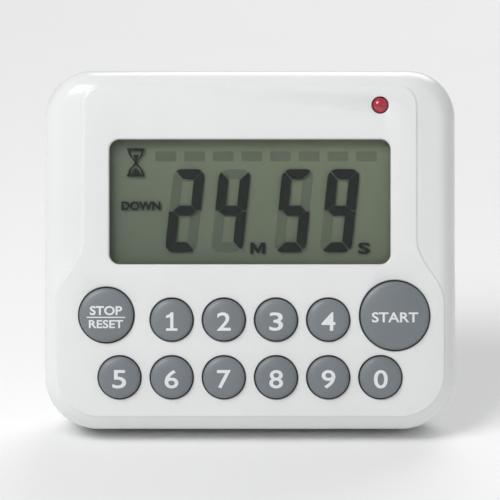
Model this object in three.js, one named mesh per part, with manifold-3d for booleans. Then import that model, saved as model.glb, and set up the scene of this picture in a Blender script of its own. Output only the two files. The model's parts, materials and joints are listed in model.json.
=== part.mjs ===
// A countdown timer with ten number keys: front case, back case, folding stand, battery door and works.
// Millimetres, +Z up, the face looks along -Y and the stand stands open behind it.
import * as THREE from "three";
import { mergeVertices } from "three/addons/utils/BufferGeometryUtils.js";
import Module from "manifold-3d";

const wasm = await Module();
wasm.setup();

// ---- Overall sizes. The case is drawn upright: x to the right, u up, d forward from the back. ----
const LEAN_DEG = 16; // the timer leans back on its stand by this
const TOP_CORNER = 9.2;
const BOTTOM_CORNER = 10.6;
const WALL = 1.6;
const FIT = 0.2; // clearance between two pieces that stay together
const BACK_ROUND = 8.4;
const FRONT_ROUND = 4;
const PARTING = 10; // depth of the joint between the two cases
const BAND_STEP = 1; // how far the bands beside the display lie below the raised face
const REST_FLAT = 0.15; // depth of the flat that the case rests on

// ---- Batteries and their bay ----
const CELL_RADIUS = 5.25;
const CELL_LENGTH = 43.3;
const CELL_NUB = 1.2;
const CELL_NUB_RADIUS = 1.9;
const CELL_GAP = 0.5;
const CELL_SEAT = 1.75; // between the lower cell and the door below it
const BAY_MARGIN = 1.4; // above the upper cell
const BAY_SLACK = 0.3; // in front of the cells
const BAY_FLOOR_WALL = 0.8;
const SPRING_ROOM = 4.2; // room beside the cells for one spring and two contact plates
const BAY_WALL = 1.2;
const DOOR_THICKNESS = 1.4;
const DOOR_GAP = 0.4; // between the door and the cells

// ---- Keys: name, radius, x, u. The case is as wide as its keys need, and the display stands above them. ----
const SMALL_KEY = 4;
const START_KEY = 6.6;
const STOP_KEY = 5.2;
const KEY_SPACING = 2.06;
const START_SPACING = 2.21;
const STOP_SPACING = 3.41;
const ROW_SPACING = 3.1;
const KEY_FOOT = 6.3; // from the lower row to the bottom of the case
const KEY_PITCH = 2 * SMALL_KEY + KEY_SPACING;
const ROW_2 = SMALL_KEY + KEY_FOOT;
const ROW_1 = ROW_2 + 2 * SMALL_KEY + ROW_SPACING;
const START_X = 1.5 * KEY_PITCH + SMALL_KEY + START_SPACING + START_KEY;
const STOP_X = -(1.5 * KEY_PITCH + SMALL_KEY + STOP_SPACING + STOP_KEY);
const START_U = ROW_1 + 0.8;
const STOP_U = ROW_1 + 0.9;
const SIDE_MARGIN = 5.5; // from the START key to the side of the case
const WIDTH = 2 * (START_X + START_KEY + SIDE_MARGIN);
const KEYS = [
  ...["1", "2", "3", "4"].map((n, i) => ["key_" + n, SMALL_KEY, (i - 1.5) * KEY_PITCH, ROW_1]),
  ...["5", "6", "7", "8", "9", "0"].map((n, i) => ["key_" + n, SMALL_KEY, (i - 2.5) * KEY_PITCH, ROW_2]),
  ["key_start", START_KEY, START_X, START_U],
  ["key_stop_reset", STOP_KEY, STOP_X, STOP_U],
];
const KEY_CLEARANCE = 0.25;
const KEY_FLANGE = 0.5;
const KEY_FLANGE_THICKNESS = 0.7;
const KEY_TRAVEL = 1;
const KEY_PROUD = 1.2;
const KEY_STEM = 1.6;

// ---- Display ----
const GLASS_WIDTH = 54.3;
const GLASS_HEIGHT = 24.1;
const GLASS_ABOVE_KEYS = 3.3;
const TOP_MARGIN = 13.5; // above the display
const GLASS_BOTTOM = START_U + START_KEY + GLASS_ABOVE_KEYS;
const GLASS_TOP = GLASS_BOTTOM + GLASS_HEIGHT;
const HEIGHT = GLASS_TOP + TOP_MARGIN;
const LCD_EDGE = 1.5; // how far the display goes on behind the window's edge
const LENS_THICKNESS = 1;
const LENS_SUNK = 0.6;
const LCD_THICKNESS = 2;
const STRIP_HEIGHT = 0.9; // of the rubber strips between display and board
const FRAME_WALL = 0.9;

// ---- Board and its parts ----
const BOARD_THICKNESS = 1;
const MAT_THICKNESS = 1.2;
const BOARD_MARGIN = 2.4; // from the board's edge to the case
const LED_X = WIDTH / 2 - 14.9;
const LED_U = HEIGHT - 6.9;
const LED_RADIUS = 1.5;

// ---- Stand ----
const PIVOT_U = HEIGHT - 14.7;
const PIVOT_D = 2;
const OPEN_DEG = 20; // from lying flat on the back to its stop
const PIN_RADIUS = 1.1;
const HEAD_RADIUS = 9.3;
const LEG_HALF_WIDTH = 7.6;
const ARM_THICKNESS = 5;
const ARM_WEB = 1.8;
const ARM_RIM = 1.5;
const ARM_LIFT = 0.3; // between the folded arm and the back
const FOOT_SOLID = 4; // the arm is solid for this length above the table
const RECESS_GAP = 2.2; // between the arm's head and the recess around it
const RECESS_SHALLOW = 3.6;
const RECESS_DEEP = 6.5;
const RECESS_STEP = 5; // from the pivot down to the step
const LEDGE = 2.95; // height of the ledge between the recess and the bay
const LEDGE_DEPTH = 1.6;
const PAD_LENGTH = 27;
const PAD_WIDTH = 14;
const PAD_THICKNESS = 3.2;
const PAD_CENTRE = 30; // along the arm from the pivot
const WIRE_RADIUS = 0.5;
const WIRE_HALF_WIDTH = 5.4;
const WIRE_ALONG = 31.2; // where the wire hooks into the arm, from the pivot
const WIRE_SEAT = 2; // above the recess's lower end
const WIRE_SEAT_D = 3;

// ---- Screws: x and u of each pair ----
const SCREW_UPPER = [WIDTH / 2 - 8.5, HEIGHT - 8.4];
const SCREW_LOWER = [WIDTH / 2 - 7.9, GLASS_BOTTOM + 9.9];
const SCREW_RADIUS = 0.8;
const SCREW_HEAD = 1.35;
const POST_RADIUS = 2.3;
const HEAD_SUNK = 3.2;
const BOARD_SCREW = [WIDTH / 2 - 6.8, GLASS_BOTTOM + 1.9];

// ---- Depths worked out from the sizes above ----
const CELL_PITCH = 2 * CELL_RADIUS + CELL_GAP;
const CELL_LOW_U = CELL_RADIUS + DOOR_THICKNESS + CELL_SEAT;
const CELL_D = DOOR_THICKNESS + DOOR_GAP + CELL_RADIUS;
const BAY_FLOOR = CELL_D + CELL_RADIUS + BAY_SLACK;
const BOARD_BACK = BAY_FLOOR + BAY_FLOOR_WALL + FIT + 0.1;
const BOARD_FRONT = BOARD_BACK + BOARD_THICKNESS;
const MAT_BACK = BOARD_FRONT + FIT;
const MAT_FRONT = MAT_BACK + MAT_THICKNESS;
const LCD_BACK = BOARD_FRONT + STRIP_HEIGHT + 2 * FIT;
const LCD_FRONT = LCD_BACK + LCD_THICKNESS;
const FACE_INNER = LCD_FRONT + FIT;
const PLATEAU_DEPTH = FACE_INNER + WALL;
const BAND_DEPTH = PLATEAU_DEPTH - BAND_STEP;
const BAND_INNER = BAND_DEPTH - WALL;
const FLANGE_FRONT = FACE_INNER - FIT;
const FLANGE_BACK = FLANGE_FRONT - KEY_FLANGE_THICKNESS;
const STEM_BACK = BOARD_FRONT + FIT + KEY_TRAVEL;
const LENS_FRONT = PLATEAU_DEPTH - LENS_SUNK;
const LENS_BACK = LENS_FRONT - LENS_THICKNESS;
const BAY_HALF = (CELL_LENGTH + CELL_NUB) / 2 + SPRING_ROOM / 2 + 0.8;
const BAY_TOP = CELL_LOW_U + CELL_PITCH + CELL_RADIUS + BAY_MARGIN;
const RECESS_LOW_U = BAY_TOP + LEDGE;
const RECESS_STEP_U = PIVOT_U - RECESS_STEP;
const WIRE_SEAT_U = RECESS_LOW_U + WIRE_SEAT;
const RECESS_HALF = HEAD_RADIUS + RECESS_GAP;
const LEAN = THREE.MathUtils.degToRad(LEAN_DEG);
const OPEN = THREE.MathUtils.degToRad(OPEN_DEG);
const ARM_INNER = PIVOT_D + ARM_LIFT; // from the pivot to the arm's inner face
const ARM_OUTER = ARM_INNER + ARM_THICKNESS;
const WIRE_OFFSET = ARM_INNER + 1.2; // from the pivot's line to the wire's hook

// The level of the table under the leaning case, and the pivot's height above it.
const LOW_POINT = BACK_ROUND * (Math.cos(LEAN) + Math.sin(LEAN) - 1);
const TABLE = LOW_POINT + REST_FLAT;
const PIVOT_HEIGHT = PIVOT_U * Math.cos(LEAN) + PIVOT_D * Math.sin(LEAN) - TABLE;
const ARM_LENGTH = PIVOT_HEIGHT / Math.cos(OPEN - LEAN); // from the pivot to the table
const ARM_REACH = ARM_LENGTH + 10; // before the table cuts its foot

// ---- Solids ----
function solid(geometry) {
  const g = geometry.clone();
  g.deleteAttribute("normal");
  g.deleteAttribute("uv");
  const merged = mergeVertices(g, 1e-4);
  const vertProperties = merged.attributes.position.array;
  const triVerts = new Uint32Array(merged.index.array);
  const made = new wasm.Manifold(new wasm.Mesh({ numProp: 3, vertProperties, triVerts }));
  if (made.volume() > 0) return made;
  for (let i = 0; i < triVerts.length; i += 3) {
    [triVerts[i + 1], triVerts[i + 2]] = [triVerts[i + 2], triVerts[i + 1]];
  }
  return new wasm.Manifold(new wasm.Mesh({ numProp: 3, vertProperties, triVerts }));
}

function geometryOf(manifold) {
  const mesh = manifold.getMesh();
  const g = new THREE.BufferGeometry();
  g.setAttribute("position", new THREE.BufferAttribute(new Float32Array(mesh.vertProperties), 3));
  g.setIndex(new THREE.BufferAttribute(new Uint32Array(mesh.triVerts), 1));
  const flat = g.toNonIndexed();
  flat.computeVertexNormals();
  return flat;
}

// A shape drawn in x and u, from one depth to another.
function slab(shape, d0, d1, curveSegments = 4) {
  const g = new THREE.ExtrudeGeometry(shape, { depth: d1 - d0, bevelEnabled: false, curveSegments });
  g.translate(0, 0, d0);
  g.rotateX(Math.PI / 2);
  return solid(g);
}

// The same with both rims rounded by a radius, inside the shape's outline.
function pillow(shape, d0, d1, radius, segments = 4) {
  const g = new THREE.ExtrudeGeometry(shape, {
    depth: d1 - d0 - 2 * radius,
    bevelThickness: radius,
    bevelSize: radius,
    bevelOffset: -radius,
    bevelSegments: segments,
    curveSegments: 4,
  });
  g.translate(0, 0, d0 + radius);
  g.rotateX(Math.PI / 2);
  return solid(g);
}

function box(x0, x1, u0, u1, d0, d1) {
  const g = new THREE.BoxGeometry(x1 - x0, d1 - d0, u1 - u0);
  g.translate((x0 + x1) / 2, -(d0 + d1) / 2, (u0 + u1) / 2);
  return solid(g);
}

// A turned piece: its profile is [radius, depth] pairs that start and end on the axis.
function turned(profile, x, u, segments = 28) {
  const g = new THREE.LatheGeometry(profile.map(([r, d]) => new THREE.Vector2(r, d)), segments);
  g.rotateX(Math.PI);
  g.translate(x, 0, u);
  return solid(g);
}

function rod(radius, d0, d1, x, u, segments = 20) {
  return turned([[0, d0], [radius, d0], [radius, d1], [0, d1]], x, u, segments);
}

// A cylinder along x.
function crossRod(radius, x0, x1, u, d, segments = 24) {
  const g = new THREE.CylinderGeometry(radius, radius, x1 - x0, segments);
  g.rotateZ(Math.PI / 2);
  g.translate((x0 + x1) / 2, -d, u);
  return solid(g);
}

function roundedRect(x0, x1, u0, u1, low, high = low) {
  const s = new THREE.Shape();
  s.moveTo(x0 + low, u0);
  s.lineTo(x1 - low, u0);
  s.absarc(x1 - low, u0 + low, low, -Math.PI / 2, 0, false);
  s.lineTo(x1, u1 - high);
  s.absarc(x1 - high, u1 - high, high, 0, Math.PI / 2, false);
  s.lineTo(x0 + high, u1);
  s.absarc(x0 + high, u1 - high, high, Math.PI / 2, Math.PI, false);
  s.lineTo(x0, u0 + low);
  s.absarc(x0 + low, u0 + low, low, Math.PI, 1.5 * Math.PI, false);
  return s;
}

function caseOutline(inset) {
  const half = WIDTH / 2 - inset;
  return roundedRect(-half, half, inset, HEIGHT - inset, BOTTOM_CORNER - inset, TOP_CORNER - inset);
}

// The raised face: narrow beside the display, flaring to nearly the full width around the keys.
function plateauOutline(inset) {
  const neck = WIDTH / 2 - 7.8 - inset;
  const hip = WIDTH / 2 - 2.4 - inset;
  const top = HEIGHT - 3.1 - inset;
  const low = 2.6 + inset;
  const shoulder = 3.8 - inset / 2;
  const corner = 8.6 - inset;
  const flareTop = GLASS_BOTTOM + 5;
  const flareLow = ROW_1 + 3;
  const s = new THREE.Shape();
  s.moveTo(-hip + corner, low);
  s.lineTo(hip - corner, low);
  s.absarc(hip - corner, low + corner, corner, -Math.PI / 2, 0, false);
  s.lineTo(hip, flareLow);
  s.bezierCurveTo(hip, flareLow + 5, neck, flareTop - 5, neck, flareTop);
  s.lineTo(neck, top - shoulder);
  s.absarc(neck - shoulder, top - shoulder, shoulder, 0, Math.PI / 2, false);
  s.lineTo(-neck + shoulder, top);
  s.absarc(-neck + shoulder, top - shoulder, shoulder, Math.PI / 2, Math.PI, false);
  s.lineTo(-neck, flareTop);
  s.bezierCurveTo(-neck, flareTop - 5, -hip, flareLow + 5, -hip, flareLow);
  s.lineTo(-hip, low + corner);
  s.absarc(-hip + corner, low + corner, corner, Math.PI, 1.5 * Math.PI, false);
  return s;
}

function union(solids) {
  return solids.reduce((a, b) => a.add(b));
}

// ---- The two cases before anything is cut in them ----
const FAR = 60;
const backBlock = pillow(caseOutline(0), 0, PARTING + 3 * BACK_ROUND, BACK_ROUND);
const backHollow = pillow(caseOutline(WALL), WALL, PARTING + 3 * BACK_ROUND, BACK_ROUND - WALL);
const frontBlock = pillow(caseOutline(0), -FAR, BAND_DEPTH, FRONT_ROUND).add(
  pillow(plateauOutline(0), -FAR, PLATEAU_DEPTH, 1.4, 3),
);
const frontHollow = pillow(caseOutline(WALL), -FAR, BAND_INNER, FRONT_ROUND - WALL).add(
  slab(plateauOutline(WALL), -FAR, FACE_INNER),
);
const behindParting = box(-FAR, FAR, -FAR, 2 * FAR, -FAR, PARTING - FIT / 2);
const beforeParting = box(-FAR, FAR, -FAR, 2 * FAR, PARTING + FIT / 2, FAR);

// The table as a block in the upright frame, to cut the flats that the timer rests on.
function tableBlock() {
  const g = new THREE.BoxGeometry(4 * FAR, 4 * FAR, FAR);
  g.translate(0, 0, TABLE - FAR / 2);
  g.rotateX(LEAN);
  return solid(g);
}

const screws = [];
for (const side of [-1, 1]) {
  screws.push([side * SCREW_UPPER[0], SCREW_UPPER[1]]);
  screws.push([side * SCREW_LOWER[0], SCREW_LOWER[1]]);
}
const boardScrews = [-1, 1].map((side) => [side * BOARD_SCREW[0], BOARD_SCREW[1]]);

// ---- Front case ----
function frontCase() {
  let s = frontBlock.subtract(frontHollow);
  for (const [x, u] of screws) s = s.add(rod(POST_RADIUS, BOARD_FRONT + FIT, FACE_INNER + 0.5, x, u));
  for (const [x, u] of boardScrews) {
    s = s.add(rod(POST_RADIUS, BOARD_FRONT + FIT, FACE_INNER + 0.5, x, u));
  }
  s = s.intersect(frontBlock).intersect(beforeParting);
  const half = GLASS_WIDTH / 2;
  s = s.subtract(slab(roundedRect(-half, half, GLASS_BOTTOM, GLASS_TOP, 2), 0, FAR));
  for (const [, radius, x, u] of KEYS) s = s.subtract(rod(radius + KEY_CLEARANCE, 0, FAR, x, u, 24));
  s = s.subtract(rod(LED_RADIUS + FIT, 0, FAR, LED_X, LED_U));
  for (const [x, u] of [...screws, ...boardScrews]) {
    s = s.subtract(rod(SCREW_RADIUS + FIT, 0, BAND_INNER, x, u, 16));
  }
  return s;
}

// ---- Back case ----
function recessShape(grow) {
  const half = RECESS_HALF + grow;
  const s = new THREE.Shape();
  s.moveTo(-half, RECESS_LOW_U - grow);
  s.lineTo(half, RECESS_LOW_U - grow);
  s.lineTo(half, PIVOT_U);
  s.absarc(0, PIVOT_U, half, 0, Math.PI, false);
  return s;
}

const PLATE_ROOM = 0.9;
function backCase() {
  let s = backBlock.subtract(backHollow).intersect(behindParting);
  // The recess behind the stand's head, shallow at the top and deep where the wire lies.
  s = s.add(slab(recessShape(BAY_WALL), 0, RECESS_SHALLOW + BAY_WALL).intersect(backBlock));
  const half = RECESS_HALF;
  const deepWall = BAY_WALL;
  s = s.add(
    box(-half - deepWall, half + deepWall, RECESS_LOW_U - deepWall, RECESS_STEP_U + deepWall, 0.5,
      RECESS_DEEP + deepWall),
  );
  for (const side of [-1, 1]) {
    s = s.add(crossRod(3.6, side > 0 ? half : -half - 3, side > 0 ? half + 3 : -half, PIVOT_U, PIVOT_D + 1)
      .intersect(backBlock));
    s = s.add(box(side > 0 ? 6 : -half - 1, side > 0 ? half + 1 : -6, PIVOT_U - 4.6, PIVOT_U + 4.6, 3,
      PIVOT_D + 5));
  }
  // The battery bay: a box open at the back and below.
  const bay = BAY_HALF + BAY_WALL;
  const frontRoom = pillow(caseOutline(WALL + FIT), -FAR, BAND_INNER, FRONT_ROUND - WALL);
  const bayBox = box(-bay, bay, WALL + FIT, BAY_TOP + BAY_WALL, 0.3, BAY_FLOOR + BAY_FLOOR_WALL);
  s = s.add(bayBox.intersect(backBlock).intersect(frontRoom));
  // Posts for the case screws.
  for (const [x, u] of screws) {
    s = s.add(rod(POST_RADIUS + 1, 0.3, BOARD_BACK - FIT, x, u).intersect(backBlock));
  }
  s = s.subtract(slab(recessShape(0), -FAR, RECESS_SHALLOW));
  s = s.subtract(box(-half, half, RECESS_LOW_U, RECESS_STEP_U, -FAR, RECESS_DEEP));
  s = s.subtract(box(-half, half, BAY_TOP - 1, RECESS_LOW_U + 1, -FAR, LEDGE_DEPTH));
  for (const side of [-1, 1]) {
    s = s.subtract(box(side > 0 ? 6.4 : -half, side > 0 ? half : -6.4, PIVOT_U - 3.6, PIVOT_U + 3.6, 0,
      PIVOT_D + 3.6));
  }
  s = s.subtract(crossRod(PIN_RADIUS + FIT, -half - 2.2, half + 2.2, PIVOT_U, PIVOT_D));
  s = s.subtract(box(-BAY_HALF, BAY_HALF, -FAR, BAY_TOP, -FAR, BAY_FLOOR));
  // Slots for the door's catches and tabs.
  for (const x of [-1, 1].map((side) => side * CATCH_X)) {
    const w = CATCH_WIDTH / 2 + FIT;
    s = s.subtract(box(x - w, x + w, BAY_TOP - 1, BAY_TOP + 0.7, DOOR_THICKNESS - 0.5, DOOR_THICKNESS + 1.5));
  }
  for (const [x, u] of screws) {
    s = s.subtract(rod(SCREW_HEAD + FIT, -FAR, HEAD_SUNK + 1.8 + FIT, x, u));
    s = s.subtract(rod(SCREW_RADIUS + FIT, 0, FAR, x, u, 16));
  }
  return s.subtract(tableBlock());
}

// ---- Battery door: the back's own skin over the bay, wrapped round the bottom edge ----
const CATCH_X = 17;
const CATCH_WIDTH = 5;
const TAB_LENGTH = 1.4;
const DOOR_LIP_D = PARTING - 0.8; // the door's lip stops just short of the front case
function batteryDoor() {
  const half = BAY_HALF - FIT;
  const thick = DOOR_THICKNESS;
  const hollow = pillow(caseOutline(thick), thick, PARTING + 3 * BACK_ROUND, BACK_ROUND - thick);
  let s = backBlock.subtract(hollow).intersect(box(-half, half, -1, BAY_TOP - FIT, -1, DOOR_LIP_D));
  for (const side of [-1, 1]) {
    const x = side * CATCH_X;
    s = s.add(box(x - CATCH_WIDTH / 2, x + CATCH_WIDTH / 2, BAY_TOP - 1.6, BAY_TOP + 0.35, thick - 0.3,
      thick + 1));
    s = s.add(box(x - CATCH_WIDTH / 2, x + CATCH_WIDTH / 2, BAY_TOP - 1.6, BAY_TOP - FIT, thick - 0.5, thick));
    const tab = side * (half - 4);
    s = s.add(box(tab - 2.5, tab + 2.5, 0.3, thick + 1, DOOR_LIP_D - 1.2, DOOR_LIP_D).intersect(backBlock));
    s = s.add(box(tab - 2.5, tab + 2.5, WALL + FIT, thick + 1, DOOR_LIP_D - 1.2, DOOR_LIP_D + TAB_LENGTH));
  }
  return s.subtract(tableBlock());
}

// ---- Keys ----
function keycap(radius, x, u) {
  const rim = PLATEAU_DEPTH + KEY_PROUD * 0.45;
  const profile = [[0, STEM_BACK], [KEY_STEM, STEM_BACK], [KEY_STEM, FLANGE_BACK]];
  profile.push([radius + KEY_FLANGE, FLANGE_BACK]);
  profile.push([radius + KEY_FLANGE, FLANGE_FRONT]);
  profile.push([radius, FLANGE_FRONT], [radius, rim - 0.3]);
  const steps = 3;
  for (let i = 0; i <= steps; i++) {
    const t = (i / steps) * (Math.PI / 2);
    profile.push([(radius - 0.15) * Math.cos(t), rim + (PLATEAU_DEPTH + KEY_PROUD - rim) * Math.sin(t)]);
  }
  profile[profile.length - 1][0] = 0;
  return turned(profile, x, u, 24);
}

// ---- Stand, drawn folded with its pivot at the origin ----
function armShape(inset) {
  const head = HEAD_RADIUS - inset;
  const leg = LEG_HALF_WIDTH - inset;
  const foot = -ARM_REACH + inset;
  const s = new THREE.Shape();
  s.moveTo(-leg + 2, foot);
  s.lineTo(leg - 2, foot);
  s.absarc(leg - 2, foot + 2, 2, -Math.PI / 2, 0, false);
  s.lineTo(leg, -20);
  s.bezierCurveTo(leg, -14, head, -10, head, -3);
  s.lineTo(head, 0);
  s.absarc(0, 0, head, 0, Math.PI, false);
  s.lineTo(-head, -3);
  s.bezierCurveTo(-head, -10, -leg, -14, -leg, -20);
  s.lineTo(-leg, foot + 2);
  s.absarc(-leg + 2, foot + 2, 2, Math.PI, 1.5 * Math.PI, false);
  return s;
}

// The table in the folded stand's own frame.
function standTable() {
  const g = new THREE.BoxGeometry(4 * FAR, 4 * FAR, FAR);
  g.translate(0, 0, TABLE - FAR / 2);
  g.rotateX(LEAN);
  g.translate(0, PIVOT_D, -PIVOT_U);
  g.rotateX(-OPEN);
  return solid(g);
}

function standArm() {
  let s = pillow(armShape(0), -ARM_OUTER, -ARM_INNER + 3, 1, 3);
  s = s.intersect(box(-FAR, FAR, -2 * FAR, FAR, -ARM_OUTER, -ARM_INNER));
  const channel = slab(armShape(ARM_RIM), -ARM_OUTER + ARM_WEB, FAR);
  s = s.subtract(channel.intersect(box(-FAR, FAR, -ARM_LENGTH + FOOT_SOLID, FAR, -FAR, FAR)));
  // Ears on the pin, and bosses that hold the wire's hooks.
  for (const side of [-1, 1]) {
    const outer = HEAD_RADIUS - 0.2;
    const inner = outer - 2.2;
    const x0 = side > 0 ? inner : -outer;
    const ear = crossRod(2.7, x0, x0 + 2.2, 0, 0).add(box(x0, x0 + 2.2, -2.7, 2.7, -ARM_INNER - 1.5, 0));
    s = s.add(ear);
  }
  s = s.subtract(crossRod(PIN_RADIUS + FIT, -FAR, FAR, 0, 0));
  s = s.subtract(crossRod(WIRE_RADIUS + FIT, -FAR, FAR, -WIRE_ALONG, -WIRE_OFFSET, 12));
  // A hole through the head to hang the timer on a hook.
  s = s.subtract(rod(1.2, -FAR, FAR, 0, 3.6, 20));
  return s.subtract(standTable());
}

function magnetPad() {
  const half = PAD_WIDTH / 2;
  const shape = roundedRect(-half, half, -PAD_CENTRE - PAD_LENGTH / 2, -PAD_CENTRE + PAD_LENGTH / 2, 0.8);
  const outer = -ARM_OUTER - FIT;
  return slab(shape, outer - PAD_THICKNESS, outer);
}

// The wire in the open pose, in the upright case's frame: a U whose bar sits in the recess.
function hookPoint(angle) {
  const along = new THREE.Vector3(0, 0, -WIRE_ALONG);
  const out = new THREE.Vector3(0, WIRE_OFFSET, 0);
  const axis = new THREE.Vector3(1, 0, 0);
  return along.add(out).applyAxisAngle(axis, angle).add(new THREE.Vector3(0, -PIVOT_D, PIVOT_U));
}

function wireStay() {
  const hook = hookPoint(OPEN);
  const seat = new THREE.Vector3(0, -WIRE_SEAT_D, WIRE_SEAT_U);
  const tip = LEG_HALF_WIDTH + 0.4;
  const half = WIRE_HALF_WIDTH;
  const at = (x, p) => new THREE.Vector3(x, p.y, p.z);
  const corners = [at(-tip, hook), at(-half, hook), at(-half, seat), at(half, seat), at(half, hook),
    at(tip, hook)];
  let s = null;
  for (let i = 0; i + 1 < corners.length; i++) {
    const a = corners[i];
    const b = corners[i + 1];
    const g = new THREE.CylinderGeometry(WIRE_RADIUS, WIRE_RADIUS, a.distanceTo(b), 8);
    const turn = new THREE.Quaternion().setFromUnitVectors(
      new THREE.Vector3(0, 1, 0),
      b.clone().sub(a).normalize(),
    );
    g.applyQuaternion(turn);
    g.translate((a.x + b.x) / 2, (a.y + b.y) / 2, (a.z + b.z) / 2);
    const leg = solid(g);
    s = s ? s.add(leg) : leg;
    if (i > 0) {
      const ball = new THREE.SphereGeometry(WIRE_RADIUS, 8, 6);
      ball.translate(a.x, a.y, a.z);
      s = s.add(solid(ball));
    }
  }
  return s;
}

// ---- Small parts ----
function battery(u, plusSide) {
  const shell = (CELL_LENGTH + CELL_NUB) / 2;
  const x0 = plusSide > 0 ? -shell : -shell + CELL_NUB;
  const body = crossRod(CELL_RADIUS, x0, x0 + CELL_LENGTH, u, CELL_D, 32);
  const n0 = plusSide > 0 ? x0 + CELL_LENGTH - 0.2 : x0 - CELL_NUB;
  return body.add(crossRod(CELL_NUB_RADIUS, n0, n0 + CELL_NUB + 0.2, u, CELL_D, 20));
}

class Helix extends THREE.Curve {
  constructor(x0, x1, u, d, r0, r1, turns) {
    super();
    Object.assign(this, { x0, x1, u, d, r0, r1, turns });
  }
  getPoint(t) {
    const a = t * this.turns * 2 * Math.PI;
    const r = this.r0 + (this.r1 - this.r0) * t;
    return new THREE.Vector3(
      this.x0 + (this.x1 - this.x0) * t,
      -this.d + r * Math.cos(a),
      this.u + r * Math.sin(a),
    );
  }
}

function alongPath(curve, radius, steps, sides = 8) {
  const shape = new THREE.Shape();
  shape.absarc(0, 0, radius, 0, 2 * Math.PI, false);
  return solid(
    new THREE.ExtrudeGeometry(shape, { steps, extrudePath: curve, curveSegments: sides, bevelEnabled: false }),
  );
}

const CONTACT = 0.35; // sheet thickness of the battery contacts
const cellLow = CELL_LOW_U;
const cellHigh = CELL_LOW_U + CELL_PITCH;
function contactPlate(side, u0, u1) {
  const x = side > 0 ? BAY_HALF - FIT - CONTACT : -BAY_HALF + FIT;
  return box(x, x + CONTACT, u0, u1, CELL_D - 4, CELL_D + 4);
}

function spring(side, u) {
  const plate = BAY_HALF - FIT - CONTACT - 0.1 - 0.35;
  const end = (CELL_LENGTH + CELL_NUB) / 2 + 0.45;
  return alongPath(new Helix(side * plate, side * end, u, CELL_D, 3.2, 1.6, 3.5), 0.25, 48, 3);
}

function lead(side, u, points) {
  const start = new THREE.Vector3(side * (BAY_HALF + BAY_WALL + 0.6), -CELL_D, u);
  const path = [start, ...points.map(([x, d, up]) => new THREE.Vector3(x, -d, up))];
  return alongPath(new THREE.CatmullRomCurve3(path), 0.45, 12, 3);
}

// ---- Everything with its colour ----
const COLOURS = {
  white: [0xf1f2f2, 0.35, 0],
  key: [0x6b7479, 0.4, 0],
  pad: [0x33373b, 0.6, 0],
  steel: [0xb9bcc0, 0.3, 1],
  board: [0x2f6b3c, 0.5, 0],
  glass: [0x858d84, 0.15, 0],
  clear: [0xdfe5e5, 0.08, 0],
  rubber: [0xb8bcc0, 0.8, 0],
  dark: [0x1d1f21, 0.4, 0],
  red: [0xb02334, 0.2, 0],
  brass: [0xc8a24c, 0.3, 1],
};

const timer = new THREE.Group();
timer.name = "lab_timer";
timer.rotation.x = -LEAN;
const stand = new THREE.Group();
stand.name = "stand";
stand.rotation.x = OPEN;
stand.position.set(0, -PIVOT_D, PIVOT_U);
timer.add(stand);

function add(group, name, manifold, colour) {
  const [color, roughness, metalness] = COLOURS[colour];
  const material = new THREE.MeshStandardMaterial({ color, roughness, metalness });
  const mesh = new THREE.Mesh(geometryOf(manifold), material);
  mesh.name = name;
  group.add(mesh);
}

add(timer, "front_case", frontCase(), "white");
add(timer, "back_case", backCase(), "white");
add(timer, "battery_door", batteryDoor(), "white");

const glassHalf = GLASS_WIDTH / 2;
add(timer, "display_window", slab(roundedRect(-glassHalf + FIT, glassHalf - FIT, GLASS_BOTTOM + FIT,
  GLASS_TOP - FIT, 1.8), LENS_BACK, LENS_FRONT), "clear");
const lcd = [glassHalf + LCD_EDGE - FRAME_WALL, GLASS_BOTTOM - LCD_EDGE, GLASS_TOP + LCD_EDGE];
add(timer, "lcd_panel", box(-lcd[0], lcd[0], lcd[1], lcd[2], LCD_BACK, LCD_FRONT), "glass");
const ring = FIT + FRAME_WALL;
add(timer, "lcd_frame",
  slab(roundedRect(-lcd[0] - ring, lcd[0] + ring, lcd[1] - ring, lcd[2] + ring, 1), BOARD_FRONT + FIT,
    LCD_FRONT).subtract(box(-lcd[0] - FIT, lcd[0] + FIT, lcd[1] - FIT, lcd[2] + FIT, 0, FAR)), "white");
const stripHalf = glassHalf - 2;
add(timer, "connector_strip_lower", box(-stripHalf, stripHalf, lcd[1] + 0.3, lcd[1] + 2.1,
  BOARD_FRONT + FIT, LCD_BACK - FIT), "rubber");
add(timer, "connector_strip_upper", box(-stripHalf, stripHalf, lcd[2] - 2.1, lcd[2] - 0.3,
  BOARD_FRONT + FIT, LCD_BACK - FIT), "rubber");

const boardEdge = WALL + BOARD_MARGIN;
let board = slab(roundedRect(-WIDTH / 2 + boardEdge, WIDTH / 2 - boardEdge, boardEdge, HEIGHT - boardEdge, 6),
  BOARD_BACK, BOARD_FRONT);
for (const [x, u] of [...screws, ...boardScrews]) board = board.subtract(rod(1.5, 0, FAR, x, u, 16));
add(timer, "circuit_board", board, "board");

const matHalf = WIDTH / 2 - SIDE_MARGIN;
let mat = slab(roundedRect(-matHalf, matHalf, ROW_2 - SMALL_KEY - 1.3, START_U + START_KEY - 1.8, 3),
  MAT_BACK, MAT_FRONT);
for (const [, , x, u] of KEYS) mat = mat.subtract(rod(KEY_STEM + 0.5, 0, FAR, x, u, 12));
add(timer, "key_mat", mat, "rubber");
for (const [name, radius, x, u] of KEYS) add(timer, name, keycap(radius, x, u), "key");

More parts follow.
